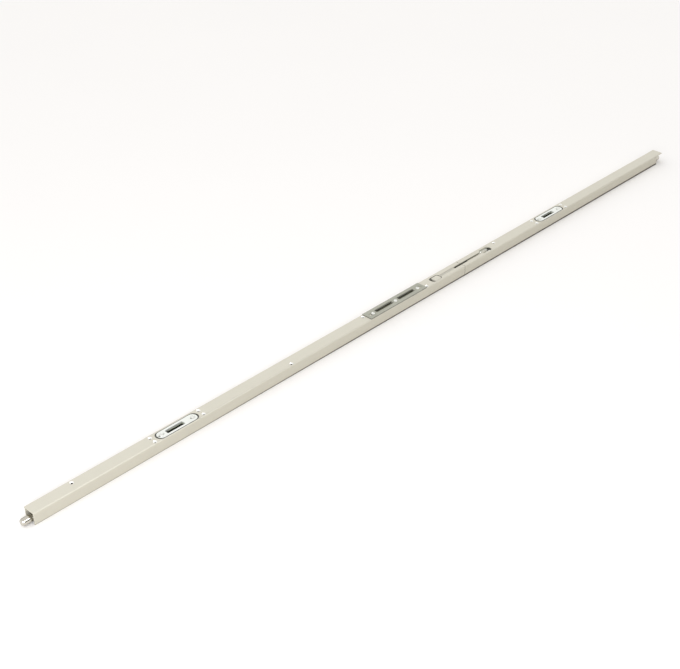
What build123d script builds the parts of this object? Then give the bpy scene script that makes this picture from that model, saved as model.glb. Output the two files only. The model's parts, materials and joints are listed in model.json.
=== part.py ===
"""Multipoint lock for the inactive leaf of a double door.

An aluminium edge profile in two lengths carries three strike plates for the
hooks, latch and deadbolt of the active leaf.  A flush lever in the middle
turns a toothed sector.  The sector drives a rack, a reversing pinion passes
the motion on to a second rack, and the two racks draw back the shoot bolts
at the two ends of the profile.

Millimetres.  While modelling, X is the station along the profile from its
lower end, Y is measured across the face from the outside of the near wall,
and Z is the height above the door edge that the profile is fixed to.
Every piece is moved to the centre of the whole lock when it is written.
"""

from build123d import *
import math
import os

# Profile
profile_length = 1990.0
seam_station = 1165.0
seam_gap = 0.8
face_width = 28.0
box_width = 26.0
profile_height = 25.0
wall = 2.0
near_corner_radius = 3.0
far_lip_radius = 0.8
upper_end_notch = 24.0
ledge_reach = 1.5
ledge_bottom = 18.6
ledge_top = 20.0

# Places that follow from the profile
centre_y = box_width / 2
face_underside = profile_height - wall
inner_near = wall
inner_far = box_width - wall
box_end = profile_length - upper_end_notch

# Fixing holes, staggered to pass on either side of the drive bars
fixing_gauge = 15.0
fixing_bore = 4.2
countersink_width = 8.0
countersink_depth = 1.9
near_line = centre_y - fixing_gauge / 2
far_line = centre_y + fixing_gauge / 2
lower_guide_fixing = 95.0
middle_guide_fixing = 621.0
centre_strike_fixing = 848.0
lever_lower_fixing = 1038.0
lever_upper_fixing = 1295.0
hook_fixing_spacing = 118.0

# Hook strikes
lower_strike_station = 330.0
upper_strike_station = 1501.5
hook_plate_length = 94.0
hook_plate_width = 20.4
hook_plate_thickness = 2.2
hook_opening_length = 100.8
hook_opening_width = 23.0
hook_slot_length = 42.0
hook_slot_width = 10.5
hook_slot_offset = -5.0
hook_slot_corner = 1.5
hook_screw_spacing = 76.0
plate_rim_chamfer = 0.4
carrier_overhang = 6.5

# Centre strike
centre_strike_station = 943.0
centre_plate_length = 180.0
centre_plate_width = 27.2
centre_plate_thickness = 1.6
strike_opening_width = 9.0
strike_opening_across = 14.75
latch_opening_length = 53.0
latch_opening_station = 908.0
deadbolt_opening_length = 52.0
deadbolt_opening_station = 979.0
strike_opening_corner = 1.0
face_opening_margin = 1.0
centre_plate_corner = 1.5
centre_screw_stations = (871.5, 943.0, 1015.5)
centre_screw_slide = (-3.0, 0.0, 3.0)
centre_screw_slot = (14.0, 7.5, 14.0)

# Adjusting slots and screws shared by the three strikes
hook_screw_slot = 11.0
screw_slot_width = 5.2
screw_track_excess = 4.2
screw_track_width = 9.4
screw_track_depth = 0.7
face_slot_length = 11.0
face_slot_width = 6.5
screw_head_width = 8.4
screw_head_height = 1.9
screw_head_chamfer = 0.9
screw_shank_width = 5.0
screw_below_carrier = 2.5
recess_length = 5.0
recess_width = 1.1
recess_depth = 1.2

# Carriers that slide in the groove under the face, and pockets under them
groove_play = 0.15
carrier_corner = 1.0
carrier_width = inner_far - inner_near - 2 * groove_play
carrier_bottom = ledge_top + groove_play
carrier_top = face_underside - groove_play
pocket_wall = 1.2
pocket_floor = 5.6
pocket_flange = 1.2
pocket_flange_along = 3.4
pocket_flange_across = 1.4
pocket_corner = 2.0
pocket_clearance = 1.2

# Drive bars and shoot bolts
bar_width = 10.0
bar_thickness = 2.5
bar_bottom = 1.6
bar_corner = 2.0
bar_top = bar_bottom + bar_thickness
bolt_width = 15.0
bolt_height = 8.5
bolt_length = 88.0
bolt_nose_width = 14.6
bolt_nose_length = 19.0
bolt_tip_width = 11.0
bolt_taper = 4.0
lower_bolt_reach = 18.0
upper_bolt_tip = profile_length + 3.0
bolt_flat_length = 22.0
bolt_pin_width = 5.0
bolt_pin_inset = 11.0
bolt_pin_sink = 0.2
bolt_pin_chamfer = 0.5
bolt_bar_lap = 21.0
bolt_running_gap = 0.05
bolt_guide_recess = 8.0
bolt_guide_length = 32.0
bolt_guide_groove_offset = 9.6
bolt_guide_groove_width = 1.6
bolt_guide_groove_height = 7.0
guide_tail_end = 101.0

# Laps of the racks on their bars
rivet_width = 4.0
rivet_head_width = 7.0
rivet_head_height = 0.8
rivet_head_chamfer = 0.5
lower_bar_end = 1146.0
upper_bar_start = 1288.0
rack_lap = 28.0
rack_rivet_insets = (8.0, 21.0)
lower_rivet_stations = [lower_bar_end - inset for inset in rack_rivet_insets]
upper_rivet_stations = [upper_bar_start + inset for inset in rack_rivet_insets]
lower_bolt_inner = bolt_length - lower_bolt_reach
upper_bolt_inner = upper_bolt_tip - bolt_length
lower_pin_station = lower_bolt_inner - bolt_pin_inset
upper_pin_station = upper_bolt_inner + bolt_pin_inset

# Bar guides
guide_length = 26.0
guide_play = 0.15
guide_tunnel_gap = 0.15
guide_window_width = 8.4
guide_window_low = 7.0
guide_window_inset = 3.0
guide_underside = 0.4
guide_corner = 0.8
lower_guide_stations = (190.0, 480.0, middle_guide_fixing, 780.0)
upper_guide_stations = (1375.0, 1640.0, 1820.0)

# Lever
lever_pivot_station = 1250.0
lever_pivot_height = 15.6
blade_thickness = 5.0
blade_bend_zone = 10.0
blade_drop = 0.3
blade_neck_top = 22.0
blade_neck_bottom = 13.0
blade_dip_top = 16.8
blade_dip_bottom = 10.2
blade_grip_bottom = 15.8
blade_bend = 3.0
blade_bend_shift = 6.0
blade_dip_stations = (1142.0, 1150.0, 1186.0, 1193.0)
blade_grip_inset = 2.5
blade_pad_gap = 0.6
lever_slot_width = 6.4
finger_opening_start = 1061.0
finger_opening_end = 1092.0
finger_opening_width = 18.0
finger_opening_corner = 6.5
hub_opening_start = 1237.0
hub_opening_end = 1271.0
hub_opening_width = 17.5
hub_opening_corner = 7.5
pad_start = 1069.5
pad_end = 1090.0
pad_width = 16.0
pad_thickness = 3.2
pad_corner = 4.0
pad_rim = 1.2
pad_hook_thickness = 1.8
pad_hook_height = 3.5
pad_hook_inset = 4.0
pad_root = 0.5
pad_rivet_stations = (1075.5, 1085.0)
pad_rivet_height = 18.4
pad_rivet_width = 3.0
pad_rivet_head_width = 4.8
pad_rivet_head_height = 0.7
pad_lug_thickness = 1.8
pad_lug_start_inset = 3.0
pad_lug_end_inset = 1.0
pivot_pin_width = 5.0
pivot_head_width = 5.6
pivot_head_height = 0.8
pivot_running_gap = 0.05
hub_radius = 8.5

# Teeth
pressure_angle = math.radians(25.0)
tooth_play = 0.16
addendum_factor = 0.9
dedendum_factor = 1.2
tooth_embed_factor = 0.3
sector_module = 1.25
sector_count = 16
# Teeth that are cut, counted from the one at the pivot or at the stud
sector_teeth = range(-1, 6)
upper_rack_top_teeth = range(-1, 7)
upper_rack_side_teeth = range(-2, 9)
lower_rack_teeth = range(-9, 2)
sector_radius = sector_module * sector_count / 2
lever_travel = 115.0
pinion_module = 1.0
pinion_count = 11
pinion_radius = pinion_module * pinion_count / 2
pinion_station = 1200.0
pinion_bore_gap = 0.05
stud_width = 4.0
stud_head_width = 7.0
stud_head_height = 1.0
stud_head_gap = 0.2
rack_height = 4.4
rack_top = bar_bottom + rack_height
rack_back_near = 5.2
rack_back_far = box_width - rack_back_near
rack_tooth_half_width = 2.8
rack_wide_reach = 30.0
rack_end_land = 2.0
rack_corner = 1.0
rack_lap_gap = 0.5
sector_pitch_height = lever_pivot_height - sector_radius

# Gear case
case_sheet = 1.2
case_start = 1044.0
case_end = 1286.0
case_lug_start = 1278.0
case_lug_end = 1303.0
case_floor = 0.2
case_near = 3.8
case_far = box_width - case_near
block_start = 1236.0
block_end = 1270.0
block_bottom = 8.0
block_top = 21.4
block_gap = 0.2
block_shoulder = 5.0
block_rivet_width = 3.0
block_rivet_head_width = 4.8
block_rivet_head_height = 1.2
block_rivet_across = 5.35
far_block_rivet_inset = 7.0
near_block_rivet_inset = 6.5
shelf_reach = 3.4
spring_rivet_station = 1140.0
spring_rivet_width = 3.0
spring_height = 19.4
spring_sheet = 0.5
spring_strip = 5.6
spring_gap = 0.1
spring_foot_ahead = 4.0
spring_foot_behind = 5.0
spring_reach = 21.0
spring_nose_length = 8.0
spring_nose_rise = 1.3
spring_rivet_head_width = 5.0
spring_rivet_head_height = 0.9

# The whole lock's centre, where the origin is
origin_station = (upper_bolt_tip - lower_bolt_reach) / 2
origin_across = face_width / 2

pieces = {}


def keep(name, shape):
    """Hold a finished piece under its name, moved to the lock's own origin."""
    pieces[name] = Pos(-origin_station, -origin_across, 0) * shape


def prism(outline, bottom, top):
    """Raise a plan outline from one height to another."""
    return extrude(Pos(0, 0, bottom) * outline, amount=top - bottom, dir=(0, 0, 1))


def plan_box(start, end, near, far, bottom, top, radius=0.0):
    """A block given by its stations, its two sides and its two heights."""
    outline = Pos((start + end) / 2, (near + far) / 2) * Rectangle(end - start, far - near)
    if radius > 0:
        outline = fillet(outline.vertices(), radius)
    return prism(outline, bottom, top)


def round_bar(station, across, bottom, top, width):
    """An upright round."""
    return Pos(station, across, bottom) * extrude(Circle(width / 2), amount=top - bottom)


def long_slot(station, across, length, width):
    """The plan of a slot with round ends."""
    return Pos(station, across) * SlotOverall(length, width)


def along_profile(outline, start, end):
    """Run a cross-section, drawn as across and up, from one station to another."""
    return Pos(start, 0, 0) * extrude(Plane.YZ * outline, amount=end - start)


def cross_pin(station, height, near, far, width):
    """A round that lies across the profile."""
    disc = Plane.XZ.offset(-far) * (Pos(station, height) * Circle(width / 2))
    return extrude(disc, amount=far - near)


def side_plate(outline, near, far):
    """Give thickness to an outline drawn as station and height."""
    return extrude(Plane.XZ.offset(-far) * outline, amount=far - near)


# Teeth


def involute(angle):
    return math.tan(angle) - angle


def flank_half_angle(radius, pitch_radius, count):
    """Half of a tooth's angular width at a radius."""
    base = pitch_radius * math.cos(pressure_angle)
    at_pitch = math.pi / (2 * count) - tooth_play / (4 * pitch_radius)
    local = math.acos(min(1.0, base / radius))
    return at_pitch + involute(pressure_angle) - involute(local)


def gear_tooth(module, count, centre_angle):
    """One involute tooth, each flank an arc through three points of the curve."""
    pitch = module * count / 2
    tip = pitch + addendum_factor * module
    root = pitch - dedendum_factor * module
    base = max(root, pitch * math.cos(pressure_angle))

    def at(radius, half):
        return (radius * math.cos(centre_angle + half), radius * math.sin(centre_angle + half))

    low = flank_half_angle(base, pitch, count)
    middle = flank_half_angle(pitch, pitch, count)
    high = flank_half_angle(tip, pitch, count)
    inside = root - tooth_embed_factor * module
    left_flank = ThreePointArc(at(base, low), at(pitch, middle), at(tip, high))
    right_flank = ThreePointArc(at(tip, -high), at(pitch, -middle), at(base, -low))
    outline = [
        Line(at(inside, low), at(base, low)),
        left_flank,
        Line(at(tip, high), at(tip, -high)),
        right_flank,
        Line(at(base, -low), at(inside, -low)),
        Line(at(inside, -low), at(inside, low)),
    ]
    return make_face(outline)


def rack_tooth(module, place, pitch_line, side):
    """One straight-sided tooth on a pitch line; side is the way that it points."""
    tip = addendum_factor * module
    root = dedendum_factor * module
    half = math.pi * module / 4 - tooth_play / 4
    slope = math.tan(pressure_angle)
    return Polygon(
        (place - half - root * slope, pitch_line - side * root),
        (place + half + root * slope, pitch_line - side * root),
        (place + half - tip * slope, pitch_line + side * tip),
        (place - half + tip * slope, pitch_line + side * tip),
        align=None,
    )


# Profile


def profile_section():
    """The box with its far lip and the two ledges of the groove under the face."""
    ledge_near = inner_near + ledge_reach
    ledge_far = inner_far - ledge_reach
    corner = near_corner_radius
    lip = far_lip_radius
    up_near = Line((0, 0), (0, profile_height - corner))
    near_corner = RadiusArc(up_near @ 1, (corner, profile_height), corner)
    face = Line(near_corner @ 1, (face_width - lip, profile_height))
    far_corner = RadiusArc(face @ 1, (face_width, profile_height - lip), lip)
    inside = Polyline(
        far_corner @ 1,
        (face_width, face_underside),
        (box_width, face_underside),
        (box_width, 0),
        (inner_far, 0),
        (inner_far, ledge_bottom),
        (ledge_far, ledge_bottom),
        (ledge_far, ledge_top),
        (inner_far, ledge_top),
        (inner_far, face_underside),
        (inner_near, face_underside),
        (inner_near, ledge_top),
        (ledge_near, ledge_top),
        (ledge_near, ledge_bottom),
        (inner_near, ledge_bottom),
        (inner_near, 0),
        (0, 0),
    )
    return make_face([up_near, near_corner, face, far_corner, inside])


def lever_opening():
    """The long opening: finger hollow, blade slot and hub hollow in one outline."""
    finger = Pos((finger_opening_start + finger_opening_end) / 2, centre_y) * RectangleRounded(
        finger_opening_end - finger_opening_start, finger_opening_width, finger_opening_corner
    )
    hub = Pos((hub_opening_start + hub_opening_end) / 2, centre_y) * RectangleRounded(
        hub_opening_end - hub_opening_start, hub_opening_width, hub_opening_corner
    )
    slot_start = finger_opening_end - wall
    slot_end = hub_opening_start + wall
    slot = Pos((slot_start + slot_end) / 2, centre_y) * Rectangle(slot_end - slot_start, lever_slot_width)
    return finger + hub + slot


def countersunk_hole(station, across):
    top = profile_height
    bore = round_bar(station, across, ledge_top, top, fixing_bore)
    cone = Pos(station, across, top - countersink_depth / 2) * Cone(
        fixing_bore / 2, countersink_width / 2, countersink_depth
    )
    return bore + cone


def hook_fixing_places(strike_station):
    """The four fixing holes round a hook strike."""
    half = hook_fixing_spacing / 2
    return [(strike_station + side * half, line) for side in (-1, 1) for line in (near_line, far_line)]


def fixing_places():
    singles = [
        (lower_guide_fixing, far_line),
        (middle_guide_fixing, near_line),
        (centre_strike_fixing, far_line),
        (lever_lower_fixing, near_line),
        (lever_upper_fixing, far_line),
    ]
    return singles + hook_fixing_places(lower_strike_station) + hook_fixing_places(upper_strike_station)


def face_cuts():
    """Everything that is cut through the face, as one list of tools."""
    below = face_underside - 1
    above = profile_height + 1
    tools = [prism(lever_opening(), below, above)]
    for station in (lower_strike_station, upper_strike_station):
        outline = long_slot(station, centre_y, hook_opening_length, hook_opening_width)
        tools.append(prism(outline, below, above))
    for station, length in (
        (latch_opening_station, latch_opening_length),
        (deadbolt_opening_station, deadbolt_opening_length),
    ):
        half = length / 2 + face_opening_margin
        near = strike_opening_across - strike_opening_width / 2 - face_opening_margin
        far = strike_opening_across + strike_opening_width / 2 + face_opening_margin
        corner = strike_opening_corner
        tools.append(plan_box(station - half, station + half, near, far, below, above, corner))
    for station in centre_screw_stations:
        outline = long_slot(station, centre_y, face_slot_length, face_slot_width)
        tools.append(prism(outline, below, above))
    for station, across in fixing_places():
        tools.append(countersunk_hole(station, across))
    return tools


def make_profiles():
    whole = along_profile(profile_section(), 0, profile_length)
    notch = plan_box(box_end, profile_length + 1, -1, face_width + 1, -1, face_underside)
    whole = whole - notch - face_cuts()
    lower_half = plan_box(-1, seam_station - seam_gap / 2, -1, face_width + 1, -1, profile_height + 1)
    upper_half = plan_box(
        seam_station + seam_gap / 2, profile_length + 1, -1, face_width + 1, -1, profile_height + 1
    )
    keep("lower_profile", whole & lower_half)
    keep("upper_profile", whole & upper_half)


# Strikes


def adjusting_slot(station, top, length):
    """A through slot with a shallow track for the screw's head."""
    through = prism(long_slot(station, centre_y, length, screw_slot_width), top - 2 * wall, top + 1)
    track = prism(
        long_slot(station, centre_y, length + screw_track_excess, screw_track_width),
        top - screw_track_depth,
        top + 1,
    )
    return through + track


def strike_screw(station, plate_top):
    """A pan-head screw, seated in its track and screwed into the carrier."""
    head_bottom = plate_top - screw_track_depth
    head = Pos(station, centre_y, head_bottom + screw_head_height / 2) * Cylinder(
        screw_head_width / 2, screw_head_height
    )
    head = chamfer(head.edges().filter_by(GeomType.CIRCLE).sort_by(Axis.Z)[-1], screw_head_chamfer)
    shank_bottom = carrier_bottom - screw_below_carrier
    shank = round_bar(station, centre_y, shank_bottom, head_bottom, screw_shank_width)
    screw = head + shank
    head_top = head_bottom + screw_head_height
    for along, across in ((recess_length, recess_width), (recess_width, recess_length)):
        arm = Pos(station, centre_y) * Rectangle(along, across)
        screw = screw - prism(arm, head_top - recess_depth, head_top + 1)
    return screw


def pocket(station, across, length, width):
    """An open-topped dust box with a flange that bears on the carrier."""
    half = length / 2 + pocket_clearance
    side = width / 2 + pocket_clearance
    outer = plan_box(
        station - half - pocket_wall,
        station + half + pocket_wall,
        across - side - pocket_wall,
        across + side + pocket_wall,
        pocket_floor,
        carrier_bottom,
        pocket_corner,
    )
    flange = plan_box(
        station - half - pocket_flange_along,
        station + half + pocket_flange_along,
        across - side - pocket_flange_across,
        across + side + pocket_flange_across,
        carrier_bottom - pocket_flange,
        carrier_bottom,
        pocket_corner,
    )
    hollow = plan_box(
        station - half,
        station + half,
        across - side,
        across + side,
        pocket_floor + pocket_wall,
        carrier_bottom + 1,
        pocket_corner - pocket_wall / 2,
    )
    return outer + flange - hollow


def carrier_hole(station, across, width):
    return round_bar(station, across, carrier_bottom - 1, carrier_top + 1, width)


def make_hook_strike(prefix, station):
    plate_bottom = carrier_top
    plate_top = plate_bottom + hook_plate_thickness
    slot_station = station + hook_slot_offset
    half_screws = hook_screw_spacing / 2

    outline = long_slot(station, centre_y, hook_plate_length, hook_plate_width)
    plate = prism(outline, plate_bottom, plate_top)
    rim = plate.faces().sort_by(Axis.Z)[-1].outer_wire().edges()
    plate = chamfer(rim, plate_rim_chamfer)
    slot = plan_box(
        slot_station - hook_slot_length / 2,
        slot_station + hook_slot_length / 2,
        centre_y - hook_slot_width / 2,
        centre_y + hook_slot_width / 2,
        plate_bottom - 1,
        plate_top + 1,
        hook_slot_corner,
    )
    plate = plate - slot
    for side in (-1, 1):
        plate = plate - adjusting_slot(station + side * half_screws, plate_top, hook_screw_slot)
    keep(prefix + "_hook_plate", plate)

    screws = [strike_screw(station + side * half_screws, plate_top) for side in (-1, 1)]
    keep(prefix + "_hook_screws", Compound(children=screws))

    half_carrier = hook_fixing_spacing / 2 + carrier_overhang
    carrier = plan_box(
        station - half_carrier,
        station + half_carrier,
        centre_y - carrier_width / 2,
        centre_y + carrier_width / 2,
        carrier_bottom,
        carrier_top,
        carrier_corner,
    )
    half_hole = hook_slot_length / 2 + pocket_clearance
    side_hole = hook_slot_width / 2 + pocket_clearance
    carrier = carrier - plan_box(
        slot_station - half_hole,
        slot_station + half_hole,
        centre_y - side_hole,
        centre_y + side_hole,
        carrier_bottom - 1,
        carrier_top + 1,
        hook_slot_corner,
    )
    for hole_station, across in hook_fixing_places(station):
        carrier = carrier - carrier_hole(hole_station, across, fixing_bore)
    for side in (-1, 1):
        carrier = carrier - carrier_hole(station + side * half_screws, centre_y, screw_shank_width)
    keep(prefix + "_hook_carrier", carrier)
    keep(prefix + "_hook_pocket", pocket(slot_station, centre_y, hook_slot_length, hook_slot_width))


def make_centre_strike():
    plate_bottom = profile_height
    plate_top = plate_bottom + centre_plate_thickness
    openings = (
        (latch_opening_station, latch_opening_length),
        (deadbolt_opening_station, deadbolt_opening_length),
    )
    half_plate = centre_plate_length / 2
    middle_y = face_width / 2
    plate = plan_box(
        centre_strike_station - half_plate,
        centre_strike_station + half_plate,
        middle_y - centre_plate_width / 2,
        middle_y + centre_plate_width / 2,
        plate_bottom,
        plate_top,
        centre_plate_corner,
    )
    rim = plate.faces().sort_by(Axis.Z)[-1].outer_wire().edges()
    plate = chamfer(rim, plate_rim_chamfer)
    for station, length in openings:
        plate = plate - plan_box(
            station - length / 2,
            station + length / 2,
            strike_opening_across - strike_opening_width / 2,
            strike_opening_across + strike_opening_width / 2,
            plate_bottom - 1,
            plate_top + 1,
            strike_opening_corner,
        )
    for station, slide, length in zip(centre_screw_stations, centre_screw_slide, centre_screw_slot):
        plate = plate - adjusting_slot(station + slide, plate_top, length)
    keep("centre_strike_plate", plate)

    screws = [strike_screw(station, plate_top) for station in centre_screw_stations]
    keep("centre_strike_screws", Compound(children=screws))

    carrier = plan_box(
        centre_strike_fixing - carrier_overhang,
        case_start - 1,
        centre_y - carrier_width / 2,
        centre_y + carrier_width / 2,
        carrier_bottom,
        carrier_top,
        carrier_corner,
    )
    for station, length in openings:
        half = length / 2 + pocket_clearance
        side = strike_opening_width / 2 + pocket_clearance
        carrier = carrier - plan_box(
            station - half,
            station + half,
            strike_opening_across - side,
            strike_opening_across + side,
            carrier_bottom - 1,
            carrier_top + 1,
            strike_opening_corner,
        )
    carrier = carrier - carrier_hole(centre_strike_fixing, far_line, fixing_bore)
    carrier = carrier - carrier_hole(lever_lower_fixing, near_line, fixing_bore)
    for station in centre_screw_stations:
        carrier = carrier - carrier_hole(station, centre_y, screw_shank_width)
    keep("centre_strike_carrier", carrier)
    for name, (station, length) in zip(("latch_pocket", "deadbolt_pocket"), openings):
        keep(name, pocket(station, strike_opening_across, length, strike_opening_width))


# Shoot bolts, drive bars and their guides


def shoot_bolt(tip, away):
    """A turned bolt with a tapered nose; away is the way from its tip into the profile."""
    half_section = Polygon(
        (0, 0),
        (0, bolt_tip_width / 2),
        (bolt_taper, bolt_nose_width / 2),
        (bolt_nose_length, bolt_nose_width / 2),
        (bolt_nose_length, bolt_width / 2),
        (bolt_length, bolt_width / 2),
        (bolt_length, 0),
        align=None,
    )
    body = revolve(half_section, Axis.X)
    if away < 0:
        body = Rot(0, 0, 180) * body
    body = Pos(tip, centre_y, bolt_height) * body
    inner = tip + away * bolt_length
    flat_edge = inner - away * bolt_flat_length
    beyond = inner + away
    body = body - plan_box(
        min(flat_edge, beyond), max(flat_edge, beyond), -1, box_width + 1, -1, bar_top
    )
    pin_station = inner - away * bolt_pin_inset
    return body - round_bar(pin_station, centre_y, 0, profile_height, bolt_pin_width)


def bolt_pin(station):
    """The rivet that joins a bolt to its drive bar."""
    top = bolt_height + bolt_width / 2 - bolt_pin_sink
    pin = round_bar(station, centre_y, bar_bottom, top, bolt_pin_width)
    return chamfer(pin.edges().filter_by(GeomType.CIRCLE).sort_by(Axis.Z)[-1], bolt_pin_chamfer)


def drive_bar(start, end, pin_station, rack_rivets):
    bar = plan_box(
        start,
        end,
        centre_y - bar_width / 2,
        centre_y + bar_width / 2,
        bar_bottom,
        bar_top,
        bar_corner,
    )
    bar = bar - round_bar(pin_station, centre_y, 0, bar_top + 1, bolt_pin_width)
    for station in rack_rivets:
        bar = bar - round_bar(station, centre_y, 0, bar_top + 1, rivet_width)
    return bar


def bar_rivets(stations):
    """Rivets through the lap of a rack on its bar."""
    rivets = []
    for station in stations:
        shank = round_bar(station, centre_y, bar_bottom, rack_top, rivet_width)
        head = round_bar(station, centre_y, rack_top, rack_top + rivet_head_height, rivet_head_width)
        head = chamfer(head.edges().filter_by(GeomType.CIRCLE).sort_by(Axis.Z)[-1], rivet_head_chamfer)
        rivets.append(shank + head)
    return Compound(children=rivets)


def bolt_guide_section():
    """The guide's section: a block below the ledges and a head in the groove."""
    block_width = inner_far - inner_near - 2 * guide_play
    neck_width = block_width - 2 * ledge_reach
    low = guide_underside
    block_high = ledge_bottom - guide_play
    block = Pos(centre_y, (low + block_high) / 2) * Rectangle(block_width, block_high - low)
    block = fillet(block.vertices(), guide_corner)
    neck_low = block_high - wall
    neck = Pos(centre_y, (neck_low + carrier_top) / 2) * Rectangle(neck_width, carrier_top - neck_low)
    head = Pos(centre_y, (carrier_bottom + carrier_top) / 2) * Rectangle(
        carrier_width, carrier_top - carrier_bottom
    )
    return block + neck + head


def bolt_guide(start):
    """A nylon guide with a running bore for the shoot bolt."""
    body = along_profile(bolt_guide_section(), start, start + bolt_guide_length)
    bore = Pos(centre_y, bolt_height) * Circle(bolt_width / 2 + bolt_running_gap)
    body = body - along_profile(bore, start - 1, start + bolt_guide_length + 1)
    for side in (-1, 1):
        groove = Pos(centre_y + side * bolt_guide_groove_offset, bolt_height) * Rectangle(
            bolt_guide_groove_width, bolt_guide_groove_height
        )
        body = body - along_profile(groove, start - 1, start + bolt_guide_length + 1)
    return body


def bar_guide(station):
    """A nylon bridge over the drive bar, hung in the groove under the face."""
    half = guide_length / 2
    body = along_profile(bolt_guide_section(), station - half, station + half)
    tunnel_side = bar_width / 2 + guide_tunnel_gap
    tunnel = plan_box(
        station - half - 1,
        station + half + 1,
        centre_y - tunnel_side,
        centre_y + tunnel_side,
        bar_bottom - guide_tunnel_gap,
        bar_top + guide_tunnel_gap,
    )
    window_side = guide_window_width / 2
    window = plan_box(
        station - half + guide_window_inset,
        station + half - guide_window_inset,
        centre_y - window_side,
        centre_y + window_side,
        guide_window_low,
        carrier_top + 1,
        2 * guide_corner,
    )
    return body - tunnel - window


def make_bolts_and_bars():
    keep("lower_shoot_bolt", shoot_bolt(-lower_bolt_reach, 1))
    keep("upper_shoot_bolt", shoot_bolt(upper_bolt_tip, -1))
    keep("lower_bolt_pin", bolt_pin(lower_pin_station))
    keep("upper_bolt_pin", bolt_pin(upper_pin_station))
    lower_bar_start = lower_bolt_inner - bolt_bar_lap
    upper_bar_end = upper_bolt_inner + bolt_bar_lap
    lower_bar = drive_bar(lower_bar_start, lower_bar_end, lower_pin_station, lower_rivet_stations)
    upper_bar = drive_bar(upper_bar_start, upper_bar_end, upper_pin_station, upper_rivet_stations)
    keep("lower_drive_bar", lower_bar)
    keep("upper_drive_bar", upper_bar)
    keep("lower_rack_rivets", bar_rivets(lower_rivet_stations))
    keep("upper_rack_rivets", bar_rivets(upper_rivet_stations))

    lower_guide = bolt_guide(bolt_guide_recess)
    tail = plan_box(
        bolt_guide_recess + bolt_guide_length - 1,
        guide_tail_end,
        centre_y - carrier_width / 2,
        centre_y + carrier_width / 2,
        carrier_bottom,
        carrier_top,
    )
    lower_guide = lower_guide + tail - carrier_hole(lower_guide_fixing, far_line, fixing_bore)
    keep("lower_bolt_guide", lower_guide)
    keep("upper_bolt_guide", bolt_guide(box_end - bolt_guide_recess - bolt_guide_length))

    lower_guides = []
    for station in lower_guide_stations:
        guide = bar_guide(station)
        if station == middle_guide_fixing:
            guide = guide - round_bar(station, near_line, -1, profile_height, fixing_bore)
        lower_guides.append(guide)
    keep("lower_bar_guides", Compound(children=lower_guides))
    keep("upper_bar_guides", Compound(children=[bar_guide(station) for station in upper_guide_stations]))


# Racks and reversing pinion


def upper_rack():
    """Driven by the sector from above; its side teeth turn the reversing pinion."""
    pitch_line = centre_y - pinion_radius
    root_line = pitch_line - dedendum_factor * pinion_module
    pitch_step = math.pi * pinion_module
    first = pinion_station - 2 * pitch_step
    wide_start = pinion_station + rack_wide_reach
    wide_end = lever_pivot_station + rack_wide_reach
    side_near = centre_y - rack_tooth_half_width
    side_far = centre_y + rack_tooth_half_width
    back = plan_box(
        first - rack_end_land, wide_start + rack_end_land, rack_back_near, root_line, bar_bottom, rack_top
    )
    teeth = Sketch()
    for step in upper_rack_side_teeth:
        teeth += rack_tooth(pinion_module, pinion_station + step * pitch_step, pitch_line, 1)
    side_teeth = prism(teeth, bar_bottom, rack_top)
    sector_root = sector_pitch_height - dedendum_factor * sector_module
    wide_floor = plan_box(wide_start, wide_end, rack_back_near, side_far, bar_bottom, sector_root)
    shoulder = plan_box(wide_start, wide_end, rack_back_near, side_near, bar_bottom, rack_top)
    top_teeth = Sketch()
    sector_step = math.pi * sector_module
    for step in upper_rack_top_teeth:
        place = lever_pivot_station + step * sector_step
        top_teeth += rack_tooth(sector_module, place, sector_pitch_height, 1)
    top_teeth = side_plate(top_teeth, side_near, side_far)
    tail_near = centre_y - bar_width / 2
    tail_far = centre_y + bar_width / 2
    tail_end = upper_bar_start + rack_lap
    neck_end = upper_bar_start - rack_lap_gap
    neck = plan_box(wide_end - 1, neck_end, tail_near, tail_far, bar_bottom, rack_top)
    tail = plan_box(wide_end - 1, tail_end, tail_near, tail_far, bar_top, rack_top, rack_corner)
    rack = back + side_teeth + wide_floor + shoulder + top_teeth + neck + tail
    for station in upper_rivet_stations:
        rack = rack - round_bar(station, centre_y, 0, rack_top + 1, rivet_width)
    return rack


def lower_rack():
    """Driven by the reversing pinion, the opposite way to the upper rack."""
    pitch_line = centre_y + pinion_radius
    root_line = pitch_line + dedendum_factor * pinion_module
    pitch_step = math.pi * pinion_module
    last = pinion_station + 2 * pitch_step
    teeth = Sketch()
    for step in lower_rack_teeth:
        teeth += rack_tooth(pinion_module, pinion_station + (step + 0.5) * pitch_step, pitch_line, -1)
    side_teeth = prism(teeth, bar_bottom, rack_top)
    neck_start = lower_bar_end + rack_lap_gap
    neck_end = neck_start + rack_lap / 2
    tail_near = centre_y - bar_width / 2
    tail_far = centre_y + bar_width / 2
    back = plan_box(neck_start, last, root_line, rack_back_far, bar_bottom, rack_top)
    neck = plan_box(
        neck_start, neck_end, centre_y - rack_end_land, rack_back_far, bar_bottom, rack_top
    )
    tail = plan_box(
        lower_bar_end - rack_lap, neck_start + 1, tail_near, tail_far, bar_top, rack_top, rack_corner
    )
    rack = back + side_teeth + neck + tail
    for station in lower_rivet_stations:
        rack = rack - round_bar(station, centre_y, 0, rack_top + 1, rivet_width)
    return rack


def reversing_pinion():
    """A full involute pinion that lies flat between the two racks."""
    step = 2 * math.pi / pinion_count
    blank = Circle(pinion_radius - dedendum_factor * pinion_module)
    for index in range(pinion_count):
        blank += gear_tooth(pinion_module, pinion_count, -math.pi / 2 + (index + 0.5) * step)
    blank -= Circle(stud_width / 2 + pinion_bore_gap)
    return Pos(pinion_station, centre_y, 0) * prism(blank, bar_bottom, rack_top)


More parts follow.
